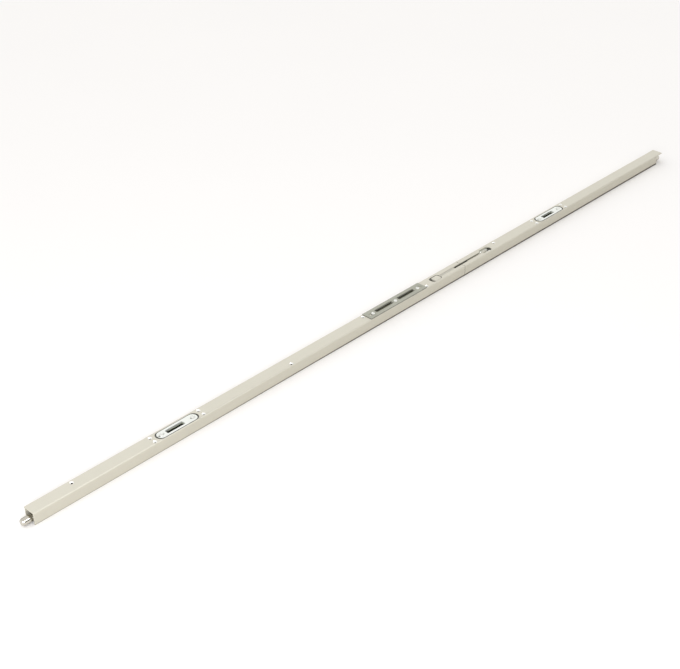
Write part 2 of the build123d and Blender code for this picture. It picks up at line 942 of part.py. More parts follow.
def pinion_stud():
    """The headed stud on the case floor that the pinion turns on."""
    head_bottom = rack_top + stud_head_gap
    head_top = head_bottom + stud_head_height
    shank = round_bar(pinion_station, centre_y, case_floor, head_bottom, stud_width)
    head = round_bar(pinion_station, centre_y, head_bottom, head_top, stud_head_width)
    return shank + head


# Lever


def sector_outline():
    """The toothed part of the hub, below and to the right of the pivot."""
    step = 2 * math.pi / sector_count
    outline = Circle(hub_radius)
    for index in sector_teeth:
        outline += gear_tooth(sector_module, sector_count, -math.pi / 2 + (index + 0.5) * step)
    return Pos(lever_pivot_station, lever_pivot_height) * outline


def blade_outline():
    """The cranked arm: flush along the grip, dipped in the middle, low at the hub."""
    top = profile_height - blade_drop
    under_pad = profile_height - pad_thickness - blade_pad_gap
    grip_start = pad_start + blade_grip_inset
    beside_pad = pad_end + blade_pad_gap
    hub_side = lever_pivot_station - hub_radius / 2
    dip_start, dip_floor_start, dip_floor_end, dip_end = blade_dip_stations
    upper_edge = [
        (hub_side, blade_neck_top),
        (dip_end, blade_neck_top),
        (dip_floor_end, blade_dip_top),
        (dip_floor_start, blade_dip_top),
        (dip_start, top),
        (beside_pad, top),
        (beside_pad, under_pad),
        (grip_start, under_pad),
    ]
    lower_edge = [
        (grip_start, blade_grip_bottom),
        (dip_start - blade_bend_shift, blade_grip_bottom),
        (dip_floor_start, blade_dip_bottom),
        (dip_floor_end + blade_bend_shift / 2, blade_dip_bottom),
        (dip_end + blade_bend_shift, blade_neck_bottom),
        (hub_side, blade_neck_bottom),
    ]
    outline = Polygon(*upper_edge, *lower_edge, align=None)
    first_bend = dip_start - blade_bend_zone
    last_bend = dip_end + blade_bend_zone
    bends = [v for v in outline.vertices() if first_bend < v.X < last_bend]
    return fillet(bends, blade_bend)


def lever_blade():
    outline = blade_outline() + sector_outline()
    eye_radius = pivot_pin_width / 2 + pivot_running_gap
    outline -= Pos(lever_pivot_station, lever_pivot_height) * Circle(eye_radius)
    for station in pad_rivet_stations:
        outline -= Pos(station, pad_rivet_height) * Circle(pad_rivet_width / 2)
    half = blade_thickness / 2
    return side_plate(outline, centre_y - half, centre_y + half)


def finger_pad():
    """The crowned pad that the finger lifts, with a hooked edge and two lugs."""
    top = profile_height
    crown = plan_box(
        pad_start,
        pad_end,
        centre_y - pad_width / 2,
        centre_y + pad_width / 2,
        top - pad_thickness,
        top,
        pad_corner,
    )
    rim = crown.faces().sort_by(Axis.Z)[-1].outer_wire().edges()
    crown = fillet(rim, pad_rim)
    underside = top - pad_thickness
    hook = plan_box(
        pad_start,
        pad_start + pad_hook_thickness,
        centre_y - pad_width / 2 + pad_hook_inset,
        centre_y + pad_width / 2 - pad_hook_inset,
        underside - pad_hook_height,
        underside + pad_root,
    )
    pad = crown + hook
    lug_near = blade_thickness / 2
    for side in (-1, 1):
        inner = centre_y + side * lug_near
        outer = centre_y + side * (lug_near + pad_lug_thickness)
        pad += plan_box(
            pad_start + pad_lug_start_inset,
            pad_end - pad_lug_end_inset,
            min(inner, outer),
            max(inner, outer),
            blade_grip_bottom,
            underside + pad_root,
        )
    for station in pad_rivet_stations:
        pad -= cross_pin(station, pad_rivet_height, 0, box_width, pad_rivet_width)
    return pad


def pad_rivets():
    """Two rivets through the lugs and the arm, headed on both sides."""
    near = centre_y - blade_thickness / 2 - pad_lug_thickness
    far = centre_y + blade_thickness / 2 + pad_lug_thickness
    rivets = []
    for station in pad_rivet_stations:
        rivet = cross_pin(station, pad_rivet_height, near, far, pad_rivet_width)
        for inside, outside in ((near - pad_rivet_head_height, near), (far, far + pad_rivet_head_height)):
            rivet += cross_pin(station, pad_rivet_height, inside, outside, pad_rivet_head_width)
        rivets.append(rivet)
    return Compound(children=rivets)


# Gear case


def shelf_rivet_place(side):
    """The far block's rivet is near the lever arm and the near block's is beyond the hub."""
    station = block_start + far_block_rivet_inset if side > 0 else block_end - near_block_rivet_inset
    return station, centre_y + side * block_rivet_across


def gear_case():
    """A folded channel that hangs in the groove and bridges the seam."""
    floor = plan_box(case_start, case_end, case_near, case_far, case_floor, case_floor + case_sheet)
    case = floor
    flange_bottom = carrier_top - case_sheet
    for near, far, flange_near, flange_far in (
        (case_near, case_near + case_sheet, inner_near + groove_play, case_near + case_sheet),
        (case_far - case_sheet, case_far, case_far - case_sheet, inner_far - groove_play),
    ):
        case += plan_box(case_start, case_end, near, far, case_floor, carrier_top)
        case += plan_box(case_start, case_end, flange_near, flange_far, flange_bottom, carrier_top)
    case += plan_box(
        case_lug_start,
        case_lug_end,
        inner_near + groove_play,
        inner_far - groove_play,
        flange_bottom,
        carrier_top,
    )
    for side in (-1, 1):
        wall_side = centre_y + side * (case_far - case_sheet / 2 - centre_y)
        shelf_edge = centre_y + side * shelf_reach
        case += plan_box(
            block_start,
            block_end,
            min(wall_side, shelf_edge),
            max(wall_side, shelf_edge),
            block_bottom - case_sheet,
            block_bottom,
        )
        station, across = shelf_rivet_place(side)
        case -= round_bar(station, across, block_bottom - 2, block_bottom + 1, block_rivet_width)
    case -= round_bar(lever_upper_fixing, far_line, flange_bottom - 1, carrier_top + 1, fixing_bore)
    case -= cross_pin(lever_pivot_station, lever_pivot_height, 0, box_width, pivot_pin_width)
    case -= round_bar(pinion_station, centre_y, -1, case_floor + case_sheet + 0.1, stud_width)
    case -= cross_pin(spring_rivet_station, spring_height, 0, centre_y, spring_rivet_width)
    return case


def detent_spring():
    """A leaf riveted to the near cheek; its bowed nose bears on the lever's arm."""
    on_cheek = case_near + case_sheet + spring_sheet / 2
    on_arm = centre_y - blade_thickness / 2 - spring_gap - spring_sheet / 2
    foot_start = spring_rivet_station + spring_foot_ahead
    foot_end = spring_rivet_station - spring_foot_behind
    nose_start = spring_rivet_station - spring_reach
    foot = Line((foot_start, on_cheek), (foot_end, on_cheek))
    rise = Line(foot @ 1, (nose_start, on_arm - spring_nose_rise))
    nose = ThreePointArc(
        rise @ 1,
        (nose_start - spring_nose_length / 2, on_arm),
        (nose_start - spring_nose_length, on_arm - spring_nose_rise),
    )
    centre_line = [foot, rise, nose]
    leaf = make_face(offset(Wire(centre_line), spring_sheet / 2, side=Side.BOTH).edges())
    leaf = prism(leaf, spring_height - spring_strip / 2, spring_height + spring_strip / 2)
    return leaf - cross_pin(spring_rivet_station, spring_height, 0, centre_y, spring_rivet_width)


def spring_rivet():
    head_start = case_near + case_sheet + spring_sheet
    shank = cross_pin(spring_rivet_station, spring_height, case_near, head_start, spring_rivet_width)
    head_end = head_start + spring_rivet_head_height
    head = cross_pin(spring_rivet_station, spring_height, head_start, head_end, spring_rivet_head_width)
    return shank + head


def bearing_block(side):
    """A cast block beside the blade that carries the pivot pin."""
    inner = centre_y + side * (blade_thickness / 2 + block_gap)
    outer = centre_y + side * (case_far - case_sheet - centre_y)
    block = plan_box(
        block_start, block_end, min(inner, outer), max(inner, outer), block_bottom, block_top
    )
    shoulders = block.edges().filter_by(Axis.Y).sort_by(Axis.Z)[-2:]
    block = fillet(shoulders, block_shoulder)
    station, across = shelf_rivet_place(side)
    block = block - round_bar(station, across, 0, profile_height, block_rivet_width)
    return block - cross_pin(lever_pivot_station, lever_pivot_height, 0, box_width, pivot_pin_width)


def block_rivets():
    rivets = []
    for side in (-1, 1):
        station, across = shelf_rivet_place(side)
        shank = round_bar(station, across, block_bottom - case_sheet, block_top, block_rivet_width)
        head_top = block_top + block_rivet_head_height
        head = round_bar(station, across, block_top, head_top, block_rivet_head_width)
        head = chamfer(head.edges().filter_by(GeomType.CIRCLE).sort_by(Axis.Z)[-1], rivet_head_chamfer)
        rivets.append(shank + head)
    return Compound(children=rivets)


def pivot_pin():
    """The lever's axle, headed outside both cheeks."""
    pin = cross_pin(lever_pivot_station, lever_pivot_height, case_near, case_far, pivot_pin_width)
    for near, far in ((case_near - pivot_head_height, case_near), (case_far, case_far + pivot_head_height)):
        pin += cross_pin(lever_pivot_station, lever_pivot_height, near, far, pivot_head_width)
    return pin


def make_lever_unit():
    keep("upper_rack", upper_rack())
    keep("lower_rack", lower_rack())
    keep("reversing_pinion", reversing_pinion())
    keep("pinion_stud", pinion_stud())
    keep("lever_blade", lever_blade())
    keep("finger_pad", finger_pad())
    keep("finger_pad_rivets", pad_rivets())
    keep("gear_case", gear_case())
    keep("near_bearing_block", bearing_block(-1))
    keep("far_bearing_block", bearing_block(1))
    keep("bearing_block_rivets", block_rivets())
    keep("lever_pivot_pin", pivot_pin())
    keep("detent_spring", detent_spring())
    keep("detent_spring_rivet", spring_rivet())


make_profiles()
make_hook_strike("lower", lower_strike_station)
make_hook_strike("upper", upper_strike_station)
make_centre_strike()
make_bolts_and_bars()
make_lever_unit()

travel = sector_radius * math.radians(lever_travel)
print("bolt travel", round(travel, 3), "pinion turn", round(math.degrees(travel / pinion_radius), 2))
print("origin station", origin_station, "pieces", len(pieces))
os.makedirs("parts", exist_ok=True)
for name, shape in pieces.items():
    export_step(shape, "parts/" + name + ".step")
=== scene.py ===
"""Finished pieces, materials and photo stage for the multipoint door lock.

The sizes are in metres.  A piece is drawn with x as its station along the
profile from the lower end, y as the distance from the near wall and z as the
height above the door's edge, and moved into the shared frame when finished.
"""

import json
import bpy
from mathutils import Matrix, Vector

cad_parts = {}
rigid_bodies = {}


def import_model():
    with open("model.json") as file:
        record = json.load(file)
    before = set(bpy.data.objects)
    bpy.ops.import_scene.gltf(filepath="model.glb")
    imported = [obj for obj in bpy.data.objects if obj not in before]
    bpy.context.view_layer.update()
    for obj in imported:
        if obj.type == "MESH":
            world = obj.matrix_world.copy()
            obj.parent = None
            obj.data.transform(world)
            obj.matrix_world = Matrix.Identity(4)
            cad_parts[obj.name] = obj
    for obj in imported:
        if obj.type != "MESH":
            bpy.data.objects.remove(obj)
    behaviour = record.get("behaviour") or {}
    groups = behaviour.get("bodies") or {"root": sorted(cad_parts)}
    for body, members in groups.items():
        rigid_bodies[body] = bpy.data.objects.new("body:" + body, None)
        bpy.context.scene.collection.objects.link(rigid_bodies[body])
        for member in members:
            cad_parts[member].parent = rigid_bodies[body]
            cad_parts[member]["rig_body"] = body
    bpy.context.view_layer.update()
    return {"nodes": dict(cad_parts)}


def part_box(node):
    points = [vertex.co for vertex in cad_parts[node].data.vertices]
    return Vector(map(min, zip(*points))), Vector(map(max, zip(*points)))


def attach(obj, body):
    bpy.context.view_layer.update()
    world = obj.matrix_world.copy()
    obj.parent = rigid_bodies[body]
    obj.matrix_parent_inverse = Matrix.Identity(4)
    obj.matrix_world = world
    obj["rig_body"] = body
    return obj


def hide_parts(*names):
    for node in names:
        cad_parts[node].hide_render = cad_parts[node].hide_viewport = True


bl_info = {
    "name": "Multipoint lock finish",
    "version": (1, 0, 0),
    "blender": (4, 5, 0),
    "location": "View3D > Sidebar > Lock",
    "description": "Builds a multipoint door lock with its finishes and its stage",
    "category": "Object",
}

from math import atan2, ceil, cos, pi, radians, sin, tan

import bmesh
import bpy
from bpy.props import FloatProperty, FloatVectorProperty, IntProperty, PointerProperty
from bpy.types import Operator, Panel, PropertyGroup
from mathutils import Matrix, Vector

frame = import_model()

MM = 0.001
LOWER_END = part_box("lower_profile")[0]
PLACE = Vector((LOWER_END.x, LOWER_END.y, 0.0))


# Properties


def length(size, text):
    """A length property; size is in millimetres."""
    return FloatProperty(default=size * MM, description=text, subtype="DISTANCE", unit="LENGTH")


def angle(turn, text):
    """An angle property; turn is in degrees."""
    return FloatProperty(default=radians(turn), description=text, subtype="ANGLE")


def colour(thing, *tone):
    text = "Colour of " + thing
    return FloatVectorProperty(default=tone, description=text, subtype="COLOR", min=0.0, max=1.0)


def amount(value, text):
    return FloatProperty(default=value, description=text, min=0.0)


class ProfileSettings(PropertyGroup):
    length: length(1990, "Whole length of the face")
    seam: length(1165, "Station of the joint between the two lengths")
    seam_gap: length(0.8, "Width of that joint")
    face_width: length(28, "Width of the face with its lip")
    box_width: length(26, "Width over the two walls")
    height: length(25, "Height of the face")
    wall: length(2, "Thickness of the face and the walls")
    near_radius: length(3, "Radius of the rounded near edge")
    lip_radius: length(0.8, "Radius of the far lip's upper edge")
    edge: length(0.18, "Width of the broken edges")
    notch: length(24, "Length without walls at the upper end")
    ledge: length(1.5, "Reach of the ledges")
    ledge_low: length(18.6, "Height of the ledges' underside")
    ledge_high: length(20, "Height of the ledges' top")
    fixing_gauge: length(15, "Distance between the lines of fixing holes")
    fixing_bore: length(4.2, "Width of a fixing hole")
    fixing_sink: length(8, "Width of its countersink")
    fixing_depth: length(1.9, "Depth of its countersink")


class StrikeSettings(PropertyGroup):
    hook_length: length(94, "Length of a hook strike")
    hook_width: length(20.4, "Width of a hook strike")
    hook_opening_length: length(100.8, "Length of the opening round it")
    hook_opening_width: length(23, "Width of the opening round it")
    hook_thickness: length(2.2, "Thickness of the plate")
    slot_length: length(42, "Length of the hook's slot")
    slot_width: length(10.5, "Width of the hook's slot")
    slot_offset: length(-5, "Shift of that slot along the plate")
    hook_screws: length(76, "Distance between its screws")
    hook_screw_slot: length(11, "Length of its adjusting slots")
    fixing_spacing: length(118, "Distance between the fixing holes round it")
    plate_length: length(180, "Length of the centre strike")
    plate_width: length(27.2, "Width of the centre strike")
    plate_thickness: length(1.6, "Thickness of the plate")
    opening_width: length(9, "Width of its two openings")
    opening_across: length(14.75, "Distance of their middle from the near wall")
    margin: length(1, "Room round them in the face")
    track_width: length(9.4, "Width of the track round a slot")
    track_depth: length(0.7, "Depth of that track")
    screw_slot: length(5.2, "Width of an adjusting slot")
    rim: length(0.18, "Width of the bevel round a plate")


class ScrewSettings(PropertyGroup):
    head_width: length(8.4, "Width of the head")
    head_height: length(1.9, "Height of the head")
    shank_width: length(5, "Width over the thread")
    pitch: length(0.8, "Pitch of the thread")
    turn: angle(80.0, "Largest turn of a screw")
    seed: IntProperty(default=4, description="Seed of the screws' turns", min=0)


class BoltSettings(PropertyGroup):
    width: length(15, "Diameter of a shoot bolt")
    height: length(8.5, "Height of its axis")
    nose_width: length(14.6, "Diameter of the nose")
    nose_length: length(19, "Length of the nose")
    tip_width: length(11, "Diameter of the flat tip")
    taper: length(4, "Length of the taper")
    flat_length: length(22, "Length of the flat for the drive bar")
    flat_height: length(4.1, "Height of that flat")
    pin_inset: length(11, "Distance of the pin from the inner end")
    pin_width: length(5, "Diameter of the pin")


class LeverSettings(PropertyGroup):
    slot_width: length(6.4, "Width of the slot that the arm lies in")
    finger_start: length(1061, "Start of the finger opening")
    finger_end: length(1092, "End of the finger opening")
    finger_width: length(18, "Width of the finger opening")
    hub_start: length(1237, "Start of the hub opening")
    hub_end: length(1271, "End of the hub opening")
    hub_width: length(17.5, "Width of the hub opening")
    pinion_teeth: IntProperty(default=11, description="Teeth of the reversing pinion", min=6)


class FinishSettings(PropertyGroup):
    coat: colour("the champagne coat", 0.68, 0.648, 0.545)
    bare: colour("freshly cut aluminium", 0.95, 0.945, 0.91)
    nickel: colour("the satin hook plates", 0.90, 0.915, 0.86)
    zinc: colour("zinc plating", 0.90, 0.90, 0.85)
    turned: colour("the plated shoot bolts", 0.62, 0.59, 0.52)
    galvanised: colour("the galvanised centre plate", 0.47, 0.47, 0.39)
    # The dull colour is the tone of the dull parts inside, and also painted shade on plate rims and cut
    # walls
    dull: colour("the dull parts inside", 0.20, 0.195, 0.17)
    # The inside colour is the coat darkened as painted shade within the box
    inside: colour("the thinly coated inside", 0.48, 0.45, 0.37)
    arm: colour("the lever's arm", 0.60, 0.575, 0.49)
    casting: colour("the zinc castings", 0.80, 0.80, 0.74)
    nylon: colour("the black nylon", 0.022, 0.020, 0.017)
    # The pocket colours are the black nylon painted pale as light falling into the pockets
    pocket: colour("the hook strikes' pockets", 0.85, 0.90, 0.62)
    strike_box: colour("the centre strike's pockets", 0.47, 0.46, 0.27)
    case: colour("the galvanised gear case", 0.55, 0.54, 0.46)
    # The foot colour is a painted contact shadow along the foot of the walls
    foot: colour("the walls' dull foot", 0.062, 0.050, 0.028)
    spring: colour("the spring", 0.30, 0.30, 0.30)


class StageSettings(PropertyGroup):
    camera: FloatVectorProperty(
        default=(-1.8670, -1.5543, 1.4661),
        description="Place of the camera in the shared frame",
        subtype="TRANSLATION",
        unit="LENGTH",
    )
    yaw: angle(43.28, "Heading from the lock's long axis")
    pitch: angle(32.53, "Angle of the view below the level")
    roll: angle(-0.05, "Roll of the camera")
    lens: FloatProperty(default=69.09, description="Focal length", unit="CAMERA")
    high_sky: amount(1.08, "Strength of the light from above")
    low_sky: amount(0.35, "Strength of the light from below")
    key_lamp: amount(22.0, "Power in watts")
    edge_lamp: amount(8.0, "Power in watts")
    bounce: colour("the floor to the lock", 0.80, 0.77, 0.72)
    floor: colour("the floor to the camera", 1.0, 0.98, 0.96)
    floor_radius: length(14000, "Radius of the floor")


# Places of the fittings


def mm(*sizes):
    """Millimetres as metres."""
    return tuple(size * MM for size in sizes)


HOOK_STATIONS = mm(330, 1501.5)
CENTRE_STATION = 943 * MM
FAR_FIXINGS = mm(95, 848, 1295)
NEAR_FIXINGS = mm(621, 1038)
CENTRE_Y = 13 * MM

# Station and length of the latch and deadbolt openings
OPENINGS = (mm(908, 53), mm(979, 52))

# Station of each centre screw, shift and length of its slot
CENTRE_SCREWS = (mm(871.5, -3, 14), mm(943, 0, 7.5), mm(1015.5, 3, 14))


def both(name):
    """The lower and the upper node of one kind."""
    return ["lower_" + name, "upper_" + name]


# Outlines and solids

ARC_STEP = radians(7.5)

# Reach of a tool past the metal, and distances that count as none
LAP = 1 * MM
WELD = 2e-6
HAIR = 1e-6

# Facets round a circle
PIN_STEPS = 32
HOLE_STEPS = 40
HEAD_STEPS = 48
BOLT_STEPS = 72
FLOOR_STEPS = 96

# Degrees from which an edge is broken or drawn sharp
READY_LIMIT = 32.0
PLATE_LIMIT = 36.0
TURNED_LIMIT = 38.0
GEAR_LIMIT = 40.0
SHARP_LIMIT = 40.0
TURNED_EDGE = 0.12 * MM

# A side's normal rises less than this, and two faces that differ by less are one
SIDE = 0.3
SAME_FACE = radians(0.8)


def rounded(points, radii):
    """A closed outline with arcs at its corners, of one radius or of one each."""
    outline = []
    for index, point in enumerate(points):
        corner = Vector(point)
        before = Vector(points[index - 1]) - corner
        after = Vector(points[(index + 1) % len(points)]) - corner
        radius = radii[index] if isinstance(radii, list) else radii
        if radius <= 0:
            outline.append(corner)
            continue
        opening = before.angle(after)
        reach = radius / tan(opening / 2)
        before.normalize()
        after.normalize()
        centre = corner + (before + after).normalized() * (radius / sin(opening / 2))
        first = corner + before * reach - centre
        last = corner + after * reach - centre
        start = atan2(first.y, first.x)
        sweep = atan2(first.x * last.y - first.y * last.x, first.dot(last))
        steps = max(2, ceil(abs(sweep) / ARC_STEP))
        for step in range(steps + 1):
            turn = start + sweep * step / steps
            outline.append(centre + radius * Vector((cos(turn), sin(turn))))
    return outline


def rectangle(x0, x1, y0, y1, radius=0.0):
    return rounded([(x0, y0), (x1, y0), (x1, y1), (x0, y1)], radius)


def oblong(station, across, size, width, radius):
    """A rectangle about its middle."""
    return rectangle(station - size / 2, station + size / 2, across - width / 2, across + width / 2, radius)


def stadium(station, size, width):
    """A slot with round ends on the centre line."""
    return oblong(station, CENTRE_Y, size, width, width / 2 - HAIR)


def circle(u, v, radius, steps):
    turn = 2 * pi / steps
    return [(u + radius * cos(turn * k), v + radius * sin(turn * k)) for k in range(steps)]


def loft(mesh, rings):
    """Join rings of points into a closed solid with flat ends."""
    made = [[mesh.verts.new(point) for point in ring] for ring in rings]
    for below, above in zip(made, made[1:]):
        for index in range(len(below)):
            after = (index + 1) % len(below)
            mesh.faces.new((below[index], below[after], above[after], above[index]))
    mesh.faces.new(list(reversed(made[0])))
    mesh.faces.new(made[-1])


def prism(mesh, outline, low, high):
    loft(mesh, [[(u, v, level) for u, v in outline] for level in (low, high)])


def lathe(mesh, outline, steps):
    """Turn (radius, height) points about Z; a radius of nought is a pole."""
    rings = []
    for radius, height in outline:
        ring = circle(0, 0, radius, steps) if radius > 0 else [(0, 0)]
        rings.append([mesh.verts.new((u, v, height)) for u, v in ring])
    for below, above in zip(rings, rings[1:]):
        for index in range(steps):
            after = (index + 1) % steps
            low = [below[index % len(below)], below[after % len(below)]]
            high = [above[after % len(above)], above[index % len(above)]]
            mesh.faces.new(list(dict.fromkeys(low + high)))


def assign(owner, **settings):
    """Set properties of an owner and give it back."""
    for key, value in settings.items():
        setattr(owner, key, value)
    return owner


def put(name, data):
    """A new object in the scene."""
    made = bpy.data.objects.new(name, data)
    bpy.context.scene.collection.objects.link(made)
    return made


def solid(name, mesh, finishes=()):
    """Turn a bmesh into an object with outward faces."""
    bmesh.ops.recalc_face_normals(mesh, faces=mesh.faces)
    data = bpy.data.meshes.new(name)
    mesh.to_mesh(data)
    mesh.free()
    for finish in finishes:
        data.materials.append(finish)
    return put(name, data)


def sheet(name, points, finishes=()):
    """An object of one face."""
    mesh = bmesh.new()
    mesh.faces.new([mesh.verts.new(point) for point in points])
    return solid(name, mesh, finishes)


def bake(piece):
    """Put what the modifiers make of a piece in place of its mesh."""
    graph = bpy.context.evaluated_depsgraph_get()
    made = bpy.data.meshes.new_from_object(piece.evaluated_get(graph), depsgraph=graph)
    if not made.polygons:
        raise RuntimeError(f"{piece.name} has no faces left")
    old = piece.data
    piece.modifiers.clear()
    piece.data = made
    bpy.data.meshes.remove(old)
    made.name = piece.name


def discard(piece):
    data = piece.data
    bpy.data.objects.remove(piece)
    bpy.data.meshes.remove(data)


def carve(piece, tools):
    """Cut a bmesh of closed tools out of a piece."""
    cutter = solid("cutter", tools)
    cut = piece.modifiers.new("Cut", "BOOLEAN")
    assign(cut, operation="DIFFERENCE", solver="EXACT", use_self=True, object=cutter)
    bake(piece)
    discard(cutter)


def soften(piece, width, limit, steps=2):
    """Break the sharp edges and weight the normals to the large faces."""
    piece.data.shade_smooth()
    edge = piece.modifiers.new("Edge", "BEVEL")
    assign(edge, width=width, segments=steps, limit_method="ANGLE", angle_limit=radians(limit))
    piece.modifiers.new("Weight", "WEIGHTED_NORMAL").keep_sharp = True
    bake(piece)


def smooth(piece):
    piece.data.shade_smooth()
    piece.data.set_sharp_from_angle(angle=radians(SHARP_LIMIT))
    return piece


def stand_in(piece, node):
    """Let a piece ride on its CAD node's body and stand for that node."""
    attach(piece, frame["nodes"][node]["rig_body"])
    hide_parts(node)


def settle(piece, node):
    """Move a piece into the shared frame and let it stand for its CAD node."""
    piece.data.transform(Matrix.Translation(PLACE))
    stand_in(piece, node)


def refined(node, finish, width, sides=None):
    """A copy of a CAD node with whole faces, broken edges and one finish or two."""
    mesh = bmesh.new()
    mesh.from_mesh(frame["nodes"][node].data)
    bmesh.ops.remove_doubles(mesh, verts=mesh.verts, dist=WELD)
    bmesh.ops.dissolve_limit(
        mesh, angle_limit=SAME_FACE, verts=mesh.verts, edges=mesh.edges, delimit={"NORMAL"}
    )
    piece = solid(node + "_finished", mesh, [finish, sides] if sides else [finish])
    for face in piece.data.polygons:
        face.material_index = 1 if sides and abs(face.normal.z) < SIDE else 0
    soften(piece, width, READY_LIMIT)
    stand_in(piece, node)


# Node trees


class Graph:
    """Adds nodes to a tree, links them by their sockets' names and gives their outputs."""

    def __init__(self, tree):
        self.tree = tree

    def add(self, kind, inputs=None, **settings):
        node = assign(self.tree.nodes.new(kind), **settings)
        for key, value in (inputs or {}).items():
            if isinstance(value, bpy.types.NodeSocket):
                self.tree.links.new(value, node.inputs[key])
            else:
                node.inputs[key].default_value = value
        return node.outputs

    def calc(self, operation, first, second, **settings):
        """One number worked out from two."""
        return self.add("ShaderNodeMath", {0: first, 1: second}, operation=operation, **settings)[0]

    def dot(self, first, second):
        inputs = {0: first, 1: second}
        return self.add("ShaderNodeVectorMath", inputs, operation="DOT_PRODUCT")["Value"]

    def scale(self, vector, size):
        return self.add("ShaderNodeVectorMath", {0: vector, "Scale": size}, operation="SCALE")[0]

    def ramp(self, value, span, ends, **settings):
        """One stretch of values mapped to another."""
        inputs = dict(zip(("From Min", "From Max", "To Min", "To Max"), (*span, *ends)))
        return self.add("ShaderNodeMapRange", {"Value": value, **inputs}, **settings)[0]

    def mix(self, share, first, second):
        """Two colours mixed."""
        return self.add("ShaderNodeMix", {0: share, 6: first, 7: second}, data_type="RGBA")[2]

    def noise(self, vector, scale, **inputs):
        return self.add("ShaderNodeTexNoise", {"Vector": vector, "Scale": scale, **inputs})[0]

    def copies(self, points, piece, turn):
        """The piece set on every point, turned about Z."""
        angles = self.add("ShaderNodeCombineXYZ", {"Z": turn})[0]
        rotation = self.add("FunctionNodeEulerToRotation", {"Euler": angles})[0]
        inputs = {"Points": points, "Instance": piece, "Rotation": rotation}
        return self.add("GeometryNodeInstanceOnPoints", inputs)[0]


def blank_graph(owner):
    """The graph of a material or world, without its first nodes."""
    owner.use_nodes = True
    owner.node_tree.nodes.clear()
    return Graph(owner.node_tree)


def geometry_tree(name, inputs):
    """A geometry tree's graph and its named inputs."""
    tree = bpy.data.node_groups.new(name, "GeometryNodeTree")
    for label, kind in {"Geometry": "Geometry", **inputs, "Finish": "Material"}.items():
        tree.interface.new_socket(label, in_out="INPUT", socket_type="NodeSocket" + kind)
    tree.interface.new_socket("Geometry", in_out="OUTPUT", socket_type="NodeSocketGeometry")
    graph = Graph(tree)
    return graph, graph.add("NodeGroupInput")


def end_tree(graph, source, result):
    """The end of every tree: real copies, merged where they touch, with the finish set."""
    real = graph.add("GeometryNodeRealizeInstances", {"Geometry": result})[0]
    merged = graph.add("GeometryNodeMergeByDistance", {"Geometry": real, "Distance": WELD})[0]
    dressed = graph.add("GeometryNodeSetMaterial", {"Geometry": merged, "Material": source["Finish"]})
    graph.add("NodeGroupOutput", {0: dressed[0]})
    return graph.tree


def extrusion_tree():
    """A cross-section run along the stations into a closed solid."""
    graph, source = geometry_tree("Extrusion", {"Length": "Float"})
    outline = source["Geometry"]
    offset = graph.add("ShaderNodeCombineXYZ", {"X": source["Length"]})[0]
    inputs = {"Mesh": outline, "Offset": offset, "Individual": False}
    run = graph.add("GeometryNodeExtrudeMesh", inputs, mode="FACES")
    back = graph.add("GeometryNodeFlipFaces", {"Mesh": outline})
    whole = graph.add("GeometryNodeJoinGeometry", {"Geometry": run["Mesh"]})[0]
    graph.tree.links.new(back["Mesh"], whole.node.inputs["Geometry"])
    return end_tree(graph, source, whole)


def places_tree():
    """One piece set on every place, each turned about Z by a seeded angle."""
    graph, source = geometry_tree("Places", {"Piece": "Object", "Turn": "Float", "Seed": "Int"})
    piece = graph.add("GeometryNodeObjectInfo", {"Object": source["Piece"]})["Geometry"]
    chance = {3: source["Turn"], "Seed": source["Seed"]}
    turn = graph.add("FunctionNodeRandomValue", chance, data_type="FLOAT")[1]
    return end_tree(graph, source, graph.copies(source["Geometry"], piece, turn))


def wheel_tree():
    """One wedge of a wheel repeated about Z and merged into a whole wheel."""
    graph, source = geometry_tree("Wheel", {"Count": "Int"})
    points = graph.add("GeometryNodePoints", {"Count": source["Count"]})[0]
    index = graph.add("GeometryNodeInputIndex")["Index"]
    share = graph.calc("DIVIDE", 2 * pi, source["Count"])
    turn = graph.calc("MULTIPLY", index, share)
    return end_tree(graph, source, graph.copies(points, source["Geometry"], turn))


def run_tree(piece, name, maker, **values):
    """Run a tree with its inputs set by identifier, and keep the plain mesh."""
    tree = bpy.data.node_groups.get(name) or maker()
    keys = {item.name: item.identifier for item in tree.interface.items_tree if item.in_out == "INPUT"}
    step = assign(piece.modifiers.new(name, "NODES"), node_group=tree)
    for label, value in values.items():
        step[keys[label]] = value
    bake(piece)
    piece.data.materials.clear()
    piece.data.materials.append(values["Finish"])
    for face in piece.data.polygons:
        face.material_index = 0


# Finishes

# Patterns of the finishes
FINE_NOISE = {"Detail": 3.0, "Roughness": 0.6}
FINE_SPAN = (0.25, 0.75)
CLOUD_SCALE = 34.0
CLOUD_DETAIL = 4.0
CLOUD_SPAN = (0.3, 0.7)
FLAKE_SCALE = 260.0
GLOSS_SPAN = (0.2, 0.8)
GLOSS_PLAY = 0.07
BUMP_STRENGTH = 0.35
COAT_ROUGHNESS = 0.3

# Where the painted contact shadow along the walls' foot fades, and where along the bar it gains strength
FOOT_SHADOW_HEIGHTS = mm(2.3, 3.4)
FOOT_SHADOW_STRETCH = (-0.8, -0.2)
FOOT_SHADOW_RISE = 0.0012
FOOT_SHADOW_WEAKEST = 0.3
MOUTH_LIGHT_DEPTH = 60 * MM
ALONG = (1.0, 0.0, 0.0)


